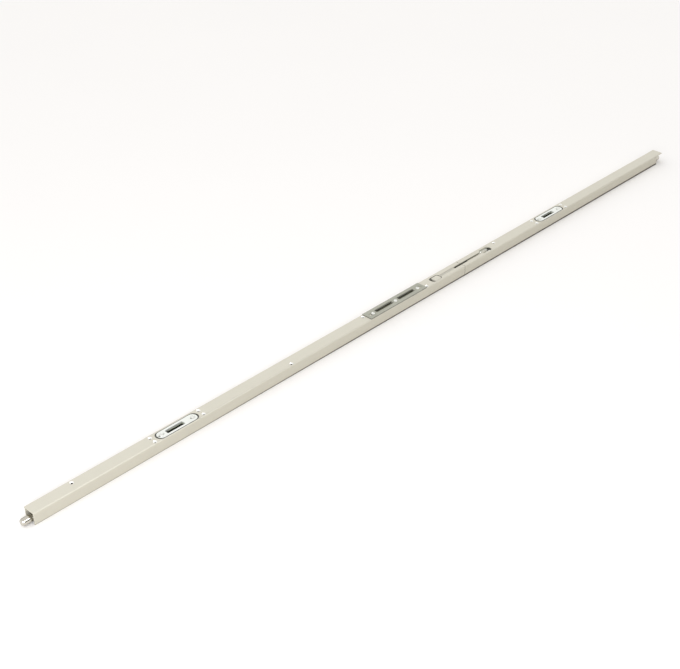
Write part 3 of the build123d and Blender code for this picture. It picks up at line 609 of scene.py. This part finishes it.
def painted(name, tone, metallic, roughness, grain, relief, mottling, specks=0.0, coat=0.0, change=None):
    """A metal or plastic with uneven gloss, a fine relief and so much grain per metre on each axis."""
    finish = bpy.data.materials.new(name)
    graph = blank_graph(finish)
    place = graph.add("ShaderNodeTexCoord")["Object"]
    spread = graph.add("ShaderNodeVectorMath", {0: place, 1: grain}, operation="MULTIPLY")[0]
    fine = graph.noise(spread, 1.0, **FINE_NOISE)
    broad = graph.noise(place, CLOUD_SCALE, Detail=CLOUD_DETAIL)
    shade = graph.ramp(broad, CLOUD_SPAN, (1 - mottling, 1.0))
    streak = graph.ramp(fine, FINE_SPAN, (1 - mottling, 1.0))
    value = graph.calc("MULTIPLY", shade, streak)
    if specks > 0:
        cells = graph.add("ShaderNodeTexVoronoi", {"Vector": place, "Scale": FLAKE_SCALE})
        flakes = graph.ramp(cells["Color"], (0.0, 1.0), (1 - specks, 1.0))
        value = graph.calc("MULTIPLY", value, flakes)
    tint = graph.scale(tuple(tone), value)
    if change:
        tint = change(graph, place, tint)
    bump = graph.add("ShaderNodeBump", {"Strength": BUMP_STRENGTH, "Distance": relief, "Height": fine})
    look = {
        "Base Color": tint,
        "Metallic": metallic,
        "Roughness": graph.ramp(fine, GLOSS_SPAN, (roughness - GLOSS_PLAY, roughness + GLOSS_PLAY)),
        "Normal": bump[0],
        "Coat Weight": coat,
        "Coat Roughness": COAT_ROUGHNESS,
    }
    surface = graph.add("ShaderNodeBsdfPrincipled", look)
    graph.add("ShaderNodeOutputMaterial", {"Surface": surface[0]})
    return finish


def painted_foot_shadow(graph, place, tint):
    """Mix a painted contact shadow in at the door's edge, thinner and weaker towards the lower end."""
    low = graph.ramp(graph.dot(place, (-FOOT_SHADOW_RISE, 0.0, 1.0)), FOOT_SHADOW_HEIGHTS, (1.0, 0.0))
    along = graph.ramp(graph.dot(place, ALONG), FOOT_SHADOW_STRETCH, (FOOT_SHADOW_WEAKEST, 1.0))
    foot = bpy.context.scene.lock_finish.foot
    return graph.mix(graph.calc("MULTIPLY", low, along), tint, (*foot, 1.0))


def painted_mouth_light(graph, place, tint):
    """Painted light: the coat colour reaches a little way into the shaded inside at the open lower end,
    where light falls in.
    """
    share = graph.ramp(graph.dot(place, ALONG), (LOWER_END.x, LOWER_END.x + MOUTH_LIGHT_DEPTH), (1.0, 0.0))
    coat = bpy.context.scene.lock_finish.coat
    return graph.mix(share, tint, (*coat, 1.0))


# Metal, roughness, grain, relief and mottling, then flakes and clear coat if any
RECIPES = {
    "coat": (0.12, 0.42, (60, 2600, 2600), 4e-6, 0.025),
    "bare": (0.4, 0.3, (1500, 1500, 300), 4e-6, 0.04),
    "nickel": (0.4, 0.34, (90, 3000, 3000), 5e-6, 0.03),
    "zinc": (0.5, 0.34, (800, 2200, 2200), 6e-6, 0.08, 0.05),
    "turned": (1.0, 0.16, (2600, 120, 120), 5e-6, 0.05),
    "galvanised": (0.45, 0.46, (400, 900, 900), 8e-6, 0.08, 0.10),
    "dull": (0.5, 0.5, (400, 900, 900), 8e-6, 0.12, 0.12),
    "inside": (0.2, 0.6, (60, 1200, 1200), 6e-6, 0.15, 0.1),
    "arm": (0.5, 0.4, (90, 2600, 2600), 5e-6, 0.08),
    "casting": (0.7, 0.5, (1200, 1200, 1200), 2.5e-5, 0.12),
    "nylon": (0.0, 0.5, (900, 900, 900), 2e-5, 0.2, 0.0, 0.05),
    # The pockets' black nylon is painted pale to stand for light inside them
    "pocket": (0.0, 0.6, (900, 900, 900), 2e-5, 0.2),
    "strike_box": (0.0, 0.6, (900, 900, 900), 2e-5, 0.2),
    "case": (0.4, 0.48, (400, 900, 900), 8e-6, 0.12, 0.12),
    "spring": (0.9, 0.3, (200, 3000, 3000), 4e-6, 0.1),
}
# The coat gets the painted contact shadow at its foot; the inside gets painted light at its open lower end
CHANGES = {"coat": painted_foot_shadow, "inside": painted_mouth_light}


def finish(name):
    """The finish of that name, made when it is first asked for."""
    known = bpy.data.materials.get("finish_" + name)
    if known:
        return known
    tone = getattr(bpy.context.scene.lock_finish, name)
    return painted("finish_" + name, tone, *RECIPES[name], change=CHANGES.get(name))


# Cuts shared by the profile and the plates

OPENING_CORNER = 1 * MM
PLATE_CORNER = 1.5 * MM

# How much longer than its slot a screw's track is
TRACK_EXTRA = 4.2 * MM


def fixing_places(sizes, strikes):
    """Station and distance across of each fixing hole."""
    near = CENTRE_Y - sizes.fixing_gauge / 2
    far = CENTRE_Y + sizes.fixing_gauge / 2
    places = [(station, far) for station in FAR_FIXINGS]
    places += [(station, near) for station in NEAR_FIXINGS]
    for station in HOOK_STATIONS:
        for side in (-1, 1):
            places += [(station + side * strikes.fixing_spacing / 2, line) for line in (near, far)]
    return places


def strike_opening(strikes, station, size, margin=0.0):
    """The plan of a latch or deadbolt opening."""
    width = strikes.opening_width + 2 * margin
    return oblong(station, strikes.opening_across, size + 2 * margin, width, OPENING_CORNER)


# Profile

# Small corners of the section
FOOT_RADIUS = 0.35 * MM
INNER_RADIUS = 0.2 * MM

# Corners of the lever's hollows, and how far the arm's slot runs into them
FINGER_CORNER = 6.5 * MM
HUB_CORNER = 7.5 * MM
SLOT_LAP = 2 * MM

# Clearance under a centre screw, and rise of a countersink past the face
SCREW_ROOM = mm(11, 6.5)
SINK_RISE = 0.5 * MM

# Play of the tests that tell faces apart, and the most that a wall faces endways
CUT_PLAY = 0.5 * MM
WALL_PLAY = 0.1 * MM
FACE_PLAY = 0.02 * MM
ENDWAYS = 0.5


def profile_section(sizes):
    """The cross-section as across and up, with the edges of a pressed bar."""
    underside = sizes.height - sizes.wall

    def wall_points(inner, ledge):
        """The inner side of a wall, from its foot to the face."""
        return [
            (inner, 0, FOOT_RADIUS),
            (inner, sizes.ledge_low, INNER_RADIUS),
            (ledge, sizes.ledge_low, INNER_RADIUS),
            (ledge, sizes.ledge_high, INNER_RADIUS),
            (inner, sizes.ledge_high, INNER_RADIUS),
            (inner, underside, INNER_RADIUS),
        ]

    inner_far = sizes.box_width - sizes.wall
    points = [
        (0, 0, FOOT_RADIUS),
        (0, sizes.height, sizes.near_radius),
        (sizes.face_width, sizes.height, sizes.lip_radius),
        (sizes.face_width, underside, FOOT_RADIUS),
        (sizes.box_width, underside, INNER_RADIUS),
        (sizes.box_width, 0, FOOT_RADIUS),
        *wall_points(inner_far, inner_far - sizes.ledge),
        *reversed(wall_points(sizes.wall, sizes.wall + sizes.ledge)),
    ]
    return rounded([(u, v) for u, v, radius in points], [radius for u, v, radius in points])


def lever_opening(tools, lever, low, high):
    """Finger hollow, hub hollow and the arm's slot, run together."""
    spans = (
        (lever.finger_start, lever.finger_end, lever.finger_width / 2, FINGER_CORNER),
        (lever.hub_start, lever.hub_end, lever.hub_width / 2, HUB_CORNER),
        (lever.finger_end - SLOT_LAP, lever.hub_start + SLOT_LAP, lever.slot_width / 2, 0.0),
    )
    for start, end, half, corner in spans:
        prism(tools, rectangle(start, end, CENTRE_Y - half, CENTRE_Y + half, corner), low, high)


def countersink(tools, sizes, station, across, low):
    """A fixing hole that widens to the face and on past it."""
    bore = sizes.fixing_bore / 2
    sink = sizes.fixing_sink / 2
    slope = (sink - bore) / sizes.fixing_depth
    rings = (
        (bore, low - 2 * LAP),
        (bore, sizes.height - sizes.fixing_depth),
        (sink, sizes.height),
        (sink + slope * SINK_RISE, sizes.height + SINK_RISE),
    )
    around = [(circle(station, across, radius, HOLE_STEPS), level) for radius, level in rings]
    loft(tools, [[(u, v, level) for u, v in ring] for ring, level in around])


def face_tools(sizes, strikes, lever, start, end):
    """Everything that is cut from one length of profile."""
    low = sizes.height - sizes.wall - LAP
    high = sizes.height + LAP
    hook_size = (strikes.hook_opening_length, strikes.hook_opening_width)
    cuts = [(station, stadium(station, *hook_size)) for station in HOOK_STATIONS]
    for station, size in OPENINGS:
        cuts.append((station, strike_opening(strikes, station, size, strikes.margin)))
    cuts += [(station, stadium(station, *SCREW_ROOM)) for station, slide, size in CENTRE_SCREWS]
    tools = bmesh.new()
    for station, outline in cuts:
        if start < station < end:
            prism(tools, outline, low, high)
    lever_opening(tools, lever, low, high)
    for station, across in fixing_places(sizes, strikes):
        if start < station < end:
            countersink(tools, sizes, station, across, low)
    if end > sizes.length - LAP:
        notch = rectangle(sizes.length - sizes.notch, sizes.length + LAP, -LAP, sizes.face_width + LAP)
        prism(tools, notch, -LAP, sizes.height - sizes.wall)
    return tools


def shaded_cut(place, sizes, strikes, lever):
    """True in the seam and the walls of the hook and finger openings, which take a dark colour: a dark
    joint at the seam, painted shade in the openings.
    """
    across = abs(place.y - CENTRE_Y)
    if abs(place.x - sizes.seam) < sizes.seam_gap:
        return True
    if lever.finger_start - CUT_PLAY < place.x < lever.finger_end + CUT_PLAY:
        return across < lever.finger_width / 2 + CUT_PLAY
    half = strikes.hook_opening_length / 2 + CUT_PLAY
    near_hook = any(abs(place.x - station) < half for station in HOOK_STATIONS)
    return near_hook and across < strikes.hook_opening_width / 2 + CUT_PLAY


def part_finishes(piece, sizes, strikes, lever):
    """Bare aluminium in the countersinks, painted shade inside the box and on the walls of the cuts, and a
    dark joint at the seam.
    """
    for name in ("bare", "inside", "dull"):
        piece.data.materials.append(finish(name))
    places = [Vector(place) for place in fixing_places(sizes, strikes)]
    underside = sizes.height - sizes.wall
    for face in piece.data.polygons:
        centre = face.center
        boxed = sizes.wall - WALL_PLAY < centre.y < sizes.box_width - sizes.wall + WALL_PLAY
        # Faces inside the box take the painted shade
        if boxed and centre.z < underside + WALL_PLAY and abs(face.normal.x) < ENDWAYS:
            face.material_index = 2
        # The seam and the walls of the cuts take the dark colour, painted shade in the openings
        if abs(face.normal.z) < SIDE and shaded_cut(centre, sizes, strikes, lever):
            face.material_index = 3
        if not underside - WALL_PLAY < centre.z < sizes.height - FACE_PLAY:
            continue
        if any((Vector(centre.xy) - place).length < sizes.fixing_sink / 2 for place in places):
            face.material_index = 1


class LOCK_OT_profiles(Operator):
    """Build the two lengths of edge profile with their cut-outs"""

    bl_idname = "lock.profiles"
    bl_label = "Edge profiles"

    def execute(self, context):
        sizes = context.scene.lock_profile
        strikes = context.scene.lock_strikes
        lever = context.scene.lock_lever
        spans = ((0.0, sizes.seam - sizes.seam_gap / 2), (sizes.seam + sizes.seam_gap / 2, sizes.length))
        for node, (start, end) in zip(both("profile"), spans):
            piece = sheet(node + "_finished", [(start, u, v) for u, v in profile_section(sizes)])
            if piece.data.polygons[0].normal.x < 0:
                piece.data.flip_normals()
            run_tree(piece, "Extrusion", extrusion_tree, Length=end - start, Finish=finish("coat"))
            carve(piece, face_tools(sizes, strikes, lever, start, end))
            part_finishes(piece, sizes, strikes, lever)
            soften(piece, sizes.edge, PLATE_LIMIT)
            settle(piece, node)
        return {"FINISHED"}


# Strikes


def strike_plate(node, outline, openings, screws, thickness, name):
    """A punched plate whose rim is painted dark as shade in the gap round it; screws holds the place and
    length of each adjusting slot.
    """
    sizes = bpy.context.scene.lock_strikes
    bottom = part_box(node)[0].z
    top = bottom + thickness
    mesh = bmesh.new()
    prism(mesh, outline, bottom, top)
    piece = solid(node + "_finished", mesh, [finish(name), finish("dull")])
    for face in piece.data.polygons:
        # The plate's sides take the dark colour as painted shade
        face.material_index = 1 if abs(face.normal.z) < SIDE else 0
    tools = bmesh.new()
    for opening in openings:
        prism(tools, opening, bottom - LAP, top + LAP)
    for station, size in screws:
        prism(tools, stadium(station, size, sizes.screw_slot), top - 2 * thickness, top + LAP)
        track = stadium(station, size + TRACK_EXTRA, sizes.track_width)
        prism(tools, track, top - sizes.track_depth, top + LAP)
    carve(piece, tools)
    soften(piece, sizes.rim, PLATE_LIMIT)
    settle(piece, node)


class LOCK_OT_hook_strikes(Operator):
    """Build the two oblong hook strikes"""

    bl_idname = "lock.hook_strikes"
    bl_label = "Hook strikes"

    def execute(self, context):
        sizes = context.scene.lock_strikes
        for node, station in zip(both("hook_plate"), HOOK_STATIONS):
            outline = stadium(station, sizes.hook_length, sizes.hook_width)
            place = station + sizes.slot_offset
            opening = oblong(place, CENTRE_Y, sizes.slot_length, sizes.slot_width, PLATE_CORNER)
            screws = [(station + way * sizes.hook_screws / 2, sizes.hook_screw_slot) for way in (-1, 1)]
            strike_plate(node, outline, [opening], screws, sizes.hook_thickness, "nickel")
        return {"FINISHED"}


class LOCK_OT_centre_strike(Operator):
    """Build the centre strike with its latch and deadbolt openings"""

    bl_idname = "lock.centre_strike"
    bl_label = "Centre strike"

    def execute(self, context):
        sizes = context.scene.lock_strikes
        node = "centre_strike_plate"
        low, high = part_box(node)
        middle = (low.y + high.y) / 2 - PLACE.y
        outline = oblong(CENTRE_STATION, middle, sizes.plate_length, sizes.plate_width, PLATE_CORNER)
        openings = [strike_opening(sizes, station, size) for station, size in OPENINGS]
        screws = [(station + slide, size) for station, slide, size in CENTRE_SCREWS]
        thickness = sizes.plate_thickness
        strike_plate(node, outline, openings, screws, thickness, "galvanised")
        return {"FINISHED"}


# Screws of the strikes

CROWN = 1.2 * MM
CROWN_STEP = radians(15.0)
CROWN_POINTS = 7
BRIM = 0.15 * MM

# Reach, half width and rise past the top of the recess's arms, at floor and mouth
RECESS = (mm(1.1, 0.35, -1.25), mm(2.6, 0.62, 0.2))
RECESS_CORNER = 0.12 * MM

# The thread's ridge, its facets and rows to a turn, and how far it runs into the head
THREAD_DEPTH = 0.4 * MM
THREAD_SLOPE = 3.2
THREAD_STEPS = 24
THREAD_ROWS = 6
NECK_LAP = 0.1 * MM


def pan_screw(sizes, head_bottom, shank_bottom):
    """A pan-head screw with a tapered cross recess and a rolled thread."""
    radius = sizes.head_width / 2
    top = head_bottom + sizes.head_height
    outline = [(0, head_bottom), (radius - BRIM, head_bottom), (radius, head_bottom + BRIM)]
    for step in reversed(range(CROWN_POINTS)):
        turn = step * CROWN_STEP
        outline.append((radius - CROWN + CROWN * sin(turn), top - CROWN + CROWN * cos(turn)))
    outline.append((0, top))
    mesh = bmesh.new()
    lathe(mesh, outline, HEAD_STEPS)
    head = solid("pan_head", mesh, [finish("zinc")])
    tools = bmesh.new()
    for crossed in (False, True):
        rings = []
        for reach, width, rise in RECESS:
            points = rectangle(-reach, reach, -width, width, RECESS_CORNER)
            rings.append([(v, u, top + rise) if crossed else (u, v, top + rise) for u, v in points])
        loft(tools, rings)
    carve(head, tools)
    soften(head, TURNED_EDGE, TURNED_LIMIT)
    mesh = bmesh.new()
    mesh.from_mesh(head.data)
    discard(head)
    threaded_shank(mesh, sizes, shank_bottom, head_bottom + NECK_LAP)
    return smooth(solid("pan_screw", mesh, [finish("zinc")]))


def threaded_shank(mesh, sizes, low, high):
    """A shank whose radius follows a helical ridge."""
    rows = ceil((high - low) / (sizes.pitch / THREAD_ROWS))
    root = sizes.shank_width / 2 - THREAD_DEPTH
    rings = []
    for row in range(rows + 1):
        level = low + (high - low) * row / rows
        ring = []
        for step in range(THREAD_STEPS):
            phase = (level / sizes.pitch - step / THREAD_STEPS) % 1.0
            radius = root + THREAD_DEPTH * max(0.0, 1 - abs(phase - 0.5) * THREAD_SLOPE)
            turn = 2 * pi * step / THREAD_STEPS
            ring.append((radius * cos(turn), radius * sin(turn), level))
        rings.append(ring)
    loft(mesh, rings)


class LOCK_OT_strike_screws(Operator):
    """Set the adjusting screws on the three strikes"""

    bl_idname = "lock.strike_screws"
    bl_label = "Strike screws"

    def execute(self, context):
        sizes = context.scene.lock_screws
        reach = context.scene.lock_strikes.hook_screws / 2
        groups = [(hook - reach, hook + reach) for hook in HOOK_STATIONS]
        groups.append([station for station, slide, size in CENTRE_SCREWS])
        nodes = [*both("hook_screws"), "centre_strike_screws"]
        for number, (node, stations) in enumerate(zip(nodes, groups)):
            low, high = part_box(node)
            screw = pan_screw(sizes, high.z - sizes.head_height, low.z)
            mesh = bmesh.new()
            for station in stations:
                mesh.verts.new((station, CENTRE_Y, 0))
            piece = solid(node + "_finished", mesh)
            chance = {"Turn": sizes.turn, "Seed": sizes.seed + number}
            run_tree(piece, "Places", places_tree, Piece=screw, Finish=finish("zinc"), **chance)
            discard(screw)
            smooth(piece)
            settle(piece, node)
        return {"FINISHED"}


# Shoot bolts

# Broken corners at the tip, the end of the taper, the step and the inner end
TIP_BREAK = mm(0.5, 0.25)
TAPER_BREAK = mm(0.18, 0.4)
STEP_BREAK = 0.1 * MM
END_BREAK = 0.4 * MM

# A height and a distance across past every bolt
BEYOND = 30 * MM


def bolt_outline(sizes, reach):
    """Radius and distance from the tip of a bolt's points."""
    radius = sizes.width / 2
    nose = sizes.nose_width / 2
    tip = sizes.tip_width / 2
    return [
        (0, 0),
        (tip - TIP_BREAK[0], 0),
        (tip, TIP_BREAK[1]),
        (nose - TAPER_BREAK[0], sizes.taper - TAPER_BREAK[1]),
        (nose, sizes.taper + TAPER_BREAK[1]),
        (nose, sizes.nose_length),
        (radius - STEP_BREAK, sizes.nose_length),
        (radius, sizes.nose_length + STEP_BREAK),
        (radius, reach - END_BREAK),
        (radius - END_BREAK, reach),
        (0, reach),
    ]


class LOCK_OT_shoot_bolts(Operator):
    """Turn the two shoot bolts and mill their flats"""

    bl_idname = "lock.shoot_bolts"
    bl_label = "Shoot bolts"

    def execute(self, context):
        sizes = context.scene.lock_bolts
        for node, away in zip(both("shoot_bolt"), (1, -1)):
            ends = [corner.x - PLACE.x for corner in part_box(node)]
            tip, inner = ends if away > 0 else reversed(ends)
            mesh = bmesh.new()
            lathe(mesh, bolt_outline(sizes, abs(inner - tip)), BOLT_STEPS)
            turn = Matrix.Rotation(away * pi / 2, 4, "Y")
            move = Matrix.Translation((tip, CENTRE_Y, sizes.height))
            bmesh.ops.transform(mesh, matrix=move @ turn, verts=mesh.verts)
            piece = solid(node + "_finished", mesh, [finish("turned")])
            tools = bmesh.new()
            flat = sorted((inner - away * sizes.flat_length, inner + away * LAP))
            prism(tools, rectangle(*flat, -LAP, BEYOND), -LAP, sizes.flat_height)
            pin = inner - away * sizes.pin_inset
            prism(tools, circle(pin, CENTRE_Y, sizes.pin_width / 2, PIN_STEPS), -LAP, BEYOND)
            carve(piece, tools)
            soften(piece, TURNED_EDGE, TURNED_LIMIT)
            settle(piece, node)
        return {"FINISHED"}


# Lever and gears

# Radius in millimetres and half a tooth's angle along the pinion's flank, and its bore
PINION_FLANK = ((4.3, 0.205), (4.55, 0.165), (5.17, 0.15), (5.5, 0.132), (6.0, 0.083), (6.4, 0.035))
PINION_BORE = 2.05

# Widths of the broken edges
ARM_EDGE = 0.2 * MM
PAD_EDGE = 0.15 * MM
PINION_EDGE = 0.06 * MM
RACK_EDGE = 0.08 * MM


class LOCK_OT_lever(Operator):
    """Finish the cranked arm and the finger pad"""

    bl_idname = "lock.lever"
    bl_label = "Lever"

    def execute(self, context):
        refined("lever_blade", finish("arm"), ARM_EDGE)
        refined("finger_pad", finish("coat"), PAD_EDGE)
        return {"FINISHED"}


def pinion_wedge(low, high, half):
    """One tooth with its share of the hub, open at the two cuts."""
    flank = [(PINION_FLANK[0][0], half), *PINION_FLANK]
    polar = [(radius, -turn) for radius, turn in flank]
    polar += [(radius, turn) for radius, turn in reversed(flank)]
    cut = len(polar) - 1
    polar += [(PINION_BORE, turn) for turn in (half, 0.0, -half)]
    points = [(radius * MM * cos(turn), radius * MM * sin(turn)) for radius, turn in polar]
    mesh = bmesh.new()
    below, above = [[mesh.verts.new((u, v, level)) for u, v in points] for level in (low, high)]
    mesh.faces.new(below)
    mesh.faces.new(above)
    for index in range(len(points) - 1):
        if index != cut:
            mesh.faces.new((below[index], below[index + 1], above[index + 1], above[index]))
    return mesh


class LOCK_OT_gear_train(Operator):
    """Build the reversing pinion from one wedge and finish the racks"""

    bl_idname = "lock.gear_train"
    bl_label = "Gear train"

    def execute(self, context):
        node = "reversing_pinion"
        count = context.scene.lock_lever.pinion_teeth
        half = pi / count
        low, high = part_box(node)
        middle = (low + high) / 2
        piece = solid(node + "_finished", pinion_wedge(low.z, high.z, half))
        run_tree(piece, "Wheel", wheel_tree, Count=count, Finish=finish("zinc"))
        turn = Matrix.Rotation(half - pi / 2, 4, "Z")
        piece.data.transform(Matrix.Translation((middle.x, middle.y, 0)) @ turn)
        outward(piece)
        soften(piece, PINION_EDGE, GEAR_LIMIT, 1)
        stand_in(piece, node)
        for rack in ("upper_rack", "lower_rack"):
            refined(rack, finish("zinc"), RACK_EDGE)
        return {"FINISHED"}


def outward(piece):
    """Turn a piece's faces outwards."""
    mesh = bmesh.new()
    mesh.from_mesh(piece.data)
    bmesh.ops.recalc_face_normals(mesh, faces=mesh.faces)
    mesh.to_mesh(piece.data)
    mesh.free()


# Case and fittings

RIVETS = ["finger_pad_rivets", "bearing_block_rivets", "lever_pivot_pin", "detent_spring_rivet"]

# Finish, slot, width of the broken edges in millimetres, and nodes
FITTINGS = (
    ("case", "galvanised_steel", 0.15, ["gear_case"]),
    ("dull", "galvanised_steel", 0.15, both("drive_bar")),
    ("dull", "galvanised_steel", 0.2, ["centre_strike_carrier"]),
    ("casting", "zinc_casting", 0.4, ["near_bearing_block", "far_bearing_block"]),
    ("pocket", "black_nylon", 0.25, both("hook_pocket")),
    ("strike_box", "black_nylon", 0.25, ["latch_pocket", "deadbolt_pocket"]),
    ("nylon", "black_nylon", 0.3, both("bolt_guide")),
    ("nylon", "black_nylon", 0.2, both("bar_guides")),
    ("zinc", "zinc_plated_steel", 0.1, both("bolt_pin") + both("rack_rivets") + ["pinion_stud"] + RIVETS),
    ("spring", "spring_steel", 0.06, ["detent_spring"]),
)
CARRIER_EDGE = 0.2 * MM


class LOCK_OT_fittings(Operator):
    """Finish the gear case and the small pieces"""

    bl_idname = "lock.fittings"
    bl_label = "Case and fittings"

    def execute(self, context):
        for name, slot, width, nodes in FITTINGS:
            for node in nodes:
                refined(node, finish(name), width * MM)
        for node in both("hook_carrier"):
            refined(node, finish("dull"), CARRIER_EDGE, finish("bare"))
        return {"FINISHED"}


# Stage, in the shared frame

FLOOR_DROP = 0.02 * MM
FLOOR_CLOUD = 2.0
FLOOR_SHADE = (0.985, 1.0)

# Direction of the brightest sky, and the stretch over which it brightens
SKY_TOP = (-0.2, 0.45, 0.87)
SKY_SPAN = (-0.3, 0.75)
WHITE = (1.0, 1.0, 1.0)

# Place, target and size of each lamp; the key lamp is a little blue
LAMP_PLACES = {
    "key_lamp": ((-2.1, -1.5, 1.1), (-0.9, 0, 0), (1.0, 0.6)),
    "edge_lamp": ((-0.15, -0.9, 0.95), (-0.6, 0, 0), (0.9, 0.25)),
}
KEY_TINT = (0.97, 1.0, 1.06)

# Name, place, turn and height of each dark card, and their half width and low edge
CARDS = (("near_card", (-0.6, -0.95, 0), 22.0, 0.5), ("far_card", (-0.62, 0.92, 0), -22.0, 0.32))
CARD_REACH = 0.7
CARD_LOW = 0.02

# The camera's sensor in millimetres and the end of its view in metres
SENSOR = 36.0
VIEW_END = 100.0


def lamp(name, power, tint):
    """An area lamp on the stage that faces its target."""
    place, target, size = LAMP_PLACES[name]
    data = bpy.data.lights.new(name, "AREA")
    assign(data, shape="RECTANGLE", size=size[0], size_y=size[1], energy=power, color=tint)
    made = put(name, data)
    made.location = place
    made.rotation_euler = (Vector(target) - Vector(place)).to_track_quat("-Z", "Y").to_euler()
    return made


def looking_rays(graph):
    """One for camera, glossy and transmission rays, nought for those that light the lock."""
    rays = graph.add("ShaderNodeLightPath")
    direct = graph.calc("ADD", rays["Is Camera Ray"], rays["Is Glossy Ray"], use_clamp=True)
    return graph.calc("ADD", direct, rays["Is Transmission Ray"], use_clamp=True)


def floor_finish(stage):
    """Faintly uneven matt card, paler to the camera than to the lock."""
    card = bpy.data.materials.new("floor_card")
    graph = blank_graph(card)
    place = graph.add("ShaderNodeTexCoord")["Object"]
    shade = graph.ramp(graph.noise(place, FLOOR_CLOUD), (0.0, 1.0), FLOOR_SHADE)
    tone = graph.mix(looking_rays(graph), (*stage.bounce, 1.0), (*stage.floor, 1.0))
    surface = graph.add("ShaderNodeBsdfDiffuse", {"Color": graph.scale(tone, shade)})
    graph.add("ShaderNodeOutputMaterial", {"Surface": surface[0]})
    return card


def light(stage):
    """A surround that is bright above, a low key lamp and a lamp for the near edge."""
    world = bpy.data.worlds.new("surround")
    bpy.context.scene.world = world
    graph = blank_graph(world)
    rise = graph.dot(graph.add("ShaderNodeTexCoord")["Generated"], SKY_TOP)
    ends = (stage.low_sky, stage.high_sky)
    strength = graph.ramp(rise, SKY_SPAN, ends, interpolation_type="SMOOTHSTEP")
    white = (*WHITE, 1.0)
    lit = graph.add("ShaderNodeBackground", {"Color": white, "Strength": strength})[0]
    seen = graph.add("ShaderNodeBackground", {"Color": white, "Strength": 1.0})[0]
    mixed = graph.add("ShaderNodeMixShader", {0: looking_rays(graph), 1: lit, 2: seen})
    graph.add("ShaderNodeOutputWorld", {"Surface": mixed[0]})
    lamp("key_lamp", stage.key_lamp, KEY_TINT)
    edge = lamp("edge_lamp", stage.edge_lamp, WHITE)
    edge.visible_diffuse = False


def reflection_cards():
    """Dark cards beside the lower bolt that only polished metal sees."""
    for name, place, turn, top in CARDS:
        outline = rectangle(-CARD_REACH, CARD_REACH, CARD_LOW, top)
        card = sheet(name, [(u, 0, v) for u, v in outline], [finish("nylon")])
        card.location = place
        card.rotation_euler.z = radians(turn)
        assign(card, visible_camera=False, visible_diffuse=False, visible_shadow=False)


def photo_camera(stage):
    """A camera that looks down at the lock from beyond its lower end."""
    data = bpy.data.cameras.new("photo_camera")
    assign(data, lens=stage.lens, sensor_width=SENSOR, clip_end=VIEW_END)
    camera = put("photo_camera", data)
    heading = Matrix.Rotation(stage.yaw - pi / 2, 4, "Z")
    tilt = Matrix.Rotation(pi / 2 - stage.pitch, 4, "X")
    roll = Matrix.Rotation(stage.roll, 4, "Z")
    camera.matrix_world = Matrix.Translation(stage.camera) @ heading @ tilt @ roll
    return camera


class LOCK_OT_stage(Operator):
    """Lay the floor, light the stage and set the camera of the photo"""

    bl_idname = "lock.stage"
    bl_label = "Stage"

    def execute(self, context):
        stage = context.scene.lock_stage
        rim = [(u, v, 0) for u, v in circle(0, 0, stage.floor_radius, FLOOR_STEPS)]
        floor = sheet("floor", rim, [floor_finish(stage)])
        if floor.data.polygons[0].normal.z < 0:
            floor.data.flip_normals()
        floor.location.z = -FLOOR_DROP
        light(stage)
        reflection_cards()
        context.scene.camera = photo_camera(stage)
        context.scene.view_settings.view_transform = "Standard"
        return {"FINISHED"}


# Registration


class LOCK_PT_panel(Panel):
    """Lists the steps that build the lock"""

    bl_idname = "LOCK_PT_panel"
    bl_label = "Multipoint lock"
    bl_space_type = "VIEW_3D"
    bl_region_type = "UI"
    bl_category = "Lock"

    def draw(self, context):
        for operator in OPERATORS:
            self.layout.operator(operator.bl_idname, text=operator.bl_label)


OPERATORS = (
    LOCK_OT_profiles,
    LOCK_OT_hook_strikes,
    LOCK_OT_centre_strike,
    LOCK_OT_strike_screws,
    LOCK_OT_shoot_bolts,
    LOCK_OT_lever,
    LOCK_OT_gear_train,
    LOCK_OT_fittings,
    LOCK_OT_stage,
)

SETTINGS = {
    "lock_profile": ProfileSettings,
    "lock_strikes": StrikeSettings,
    "lock_screws": ScrewSettings,
    "lock_bolts": BoltSettings,
    "lock_lever": LeverSettings,
    "lock_finish": FinishSettings,
    "lock_stage": StageSettings,
}


def register():
    """Name each property as its key spells, and register everything."""
    for name, group in SETTINGS.items():
        for key, value in group.__annotations__.items():
            value.keywords["name"] = key.replace("_", " ").capitalize()
        bpy.utils.register_class(group)
        setattr(bpy.types.Scene, name, PointerProperty(type=group))
    for shown in (*OPERATORS, LOCK_PT_panel):
        bpy.utils.register_class(shown)


def unregister():
    for shown in (LOCK_PT_panel, *reversed(OPERATORS)):
        bpy.utils.unregister_class(shown)
    for name, group in SETTINGS.items():
        delattr(bpy.types.Scene, name)
        bpy.utils.unregister_class(group)


def main():
    register()
    for operator in OPERATORS:
        getattr(bpy.ops.lock, operator.bl_idname.split(".")[1])()


if __name__ == "__main__":
    main()
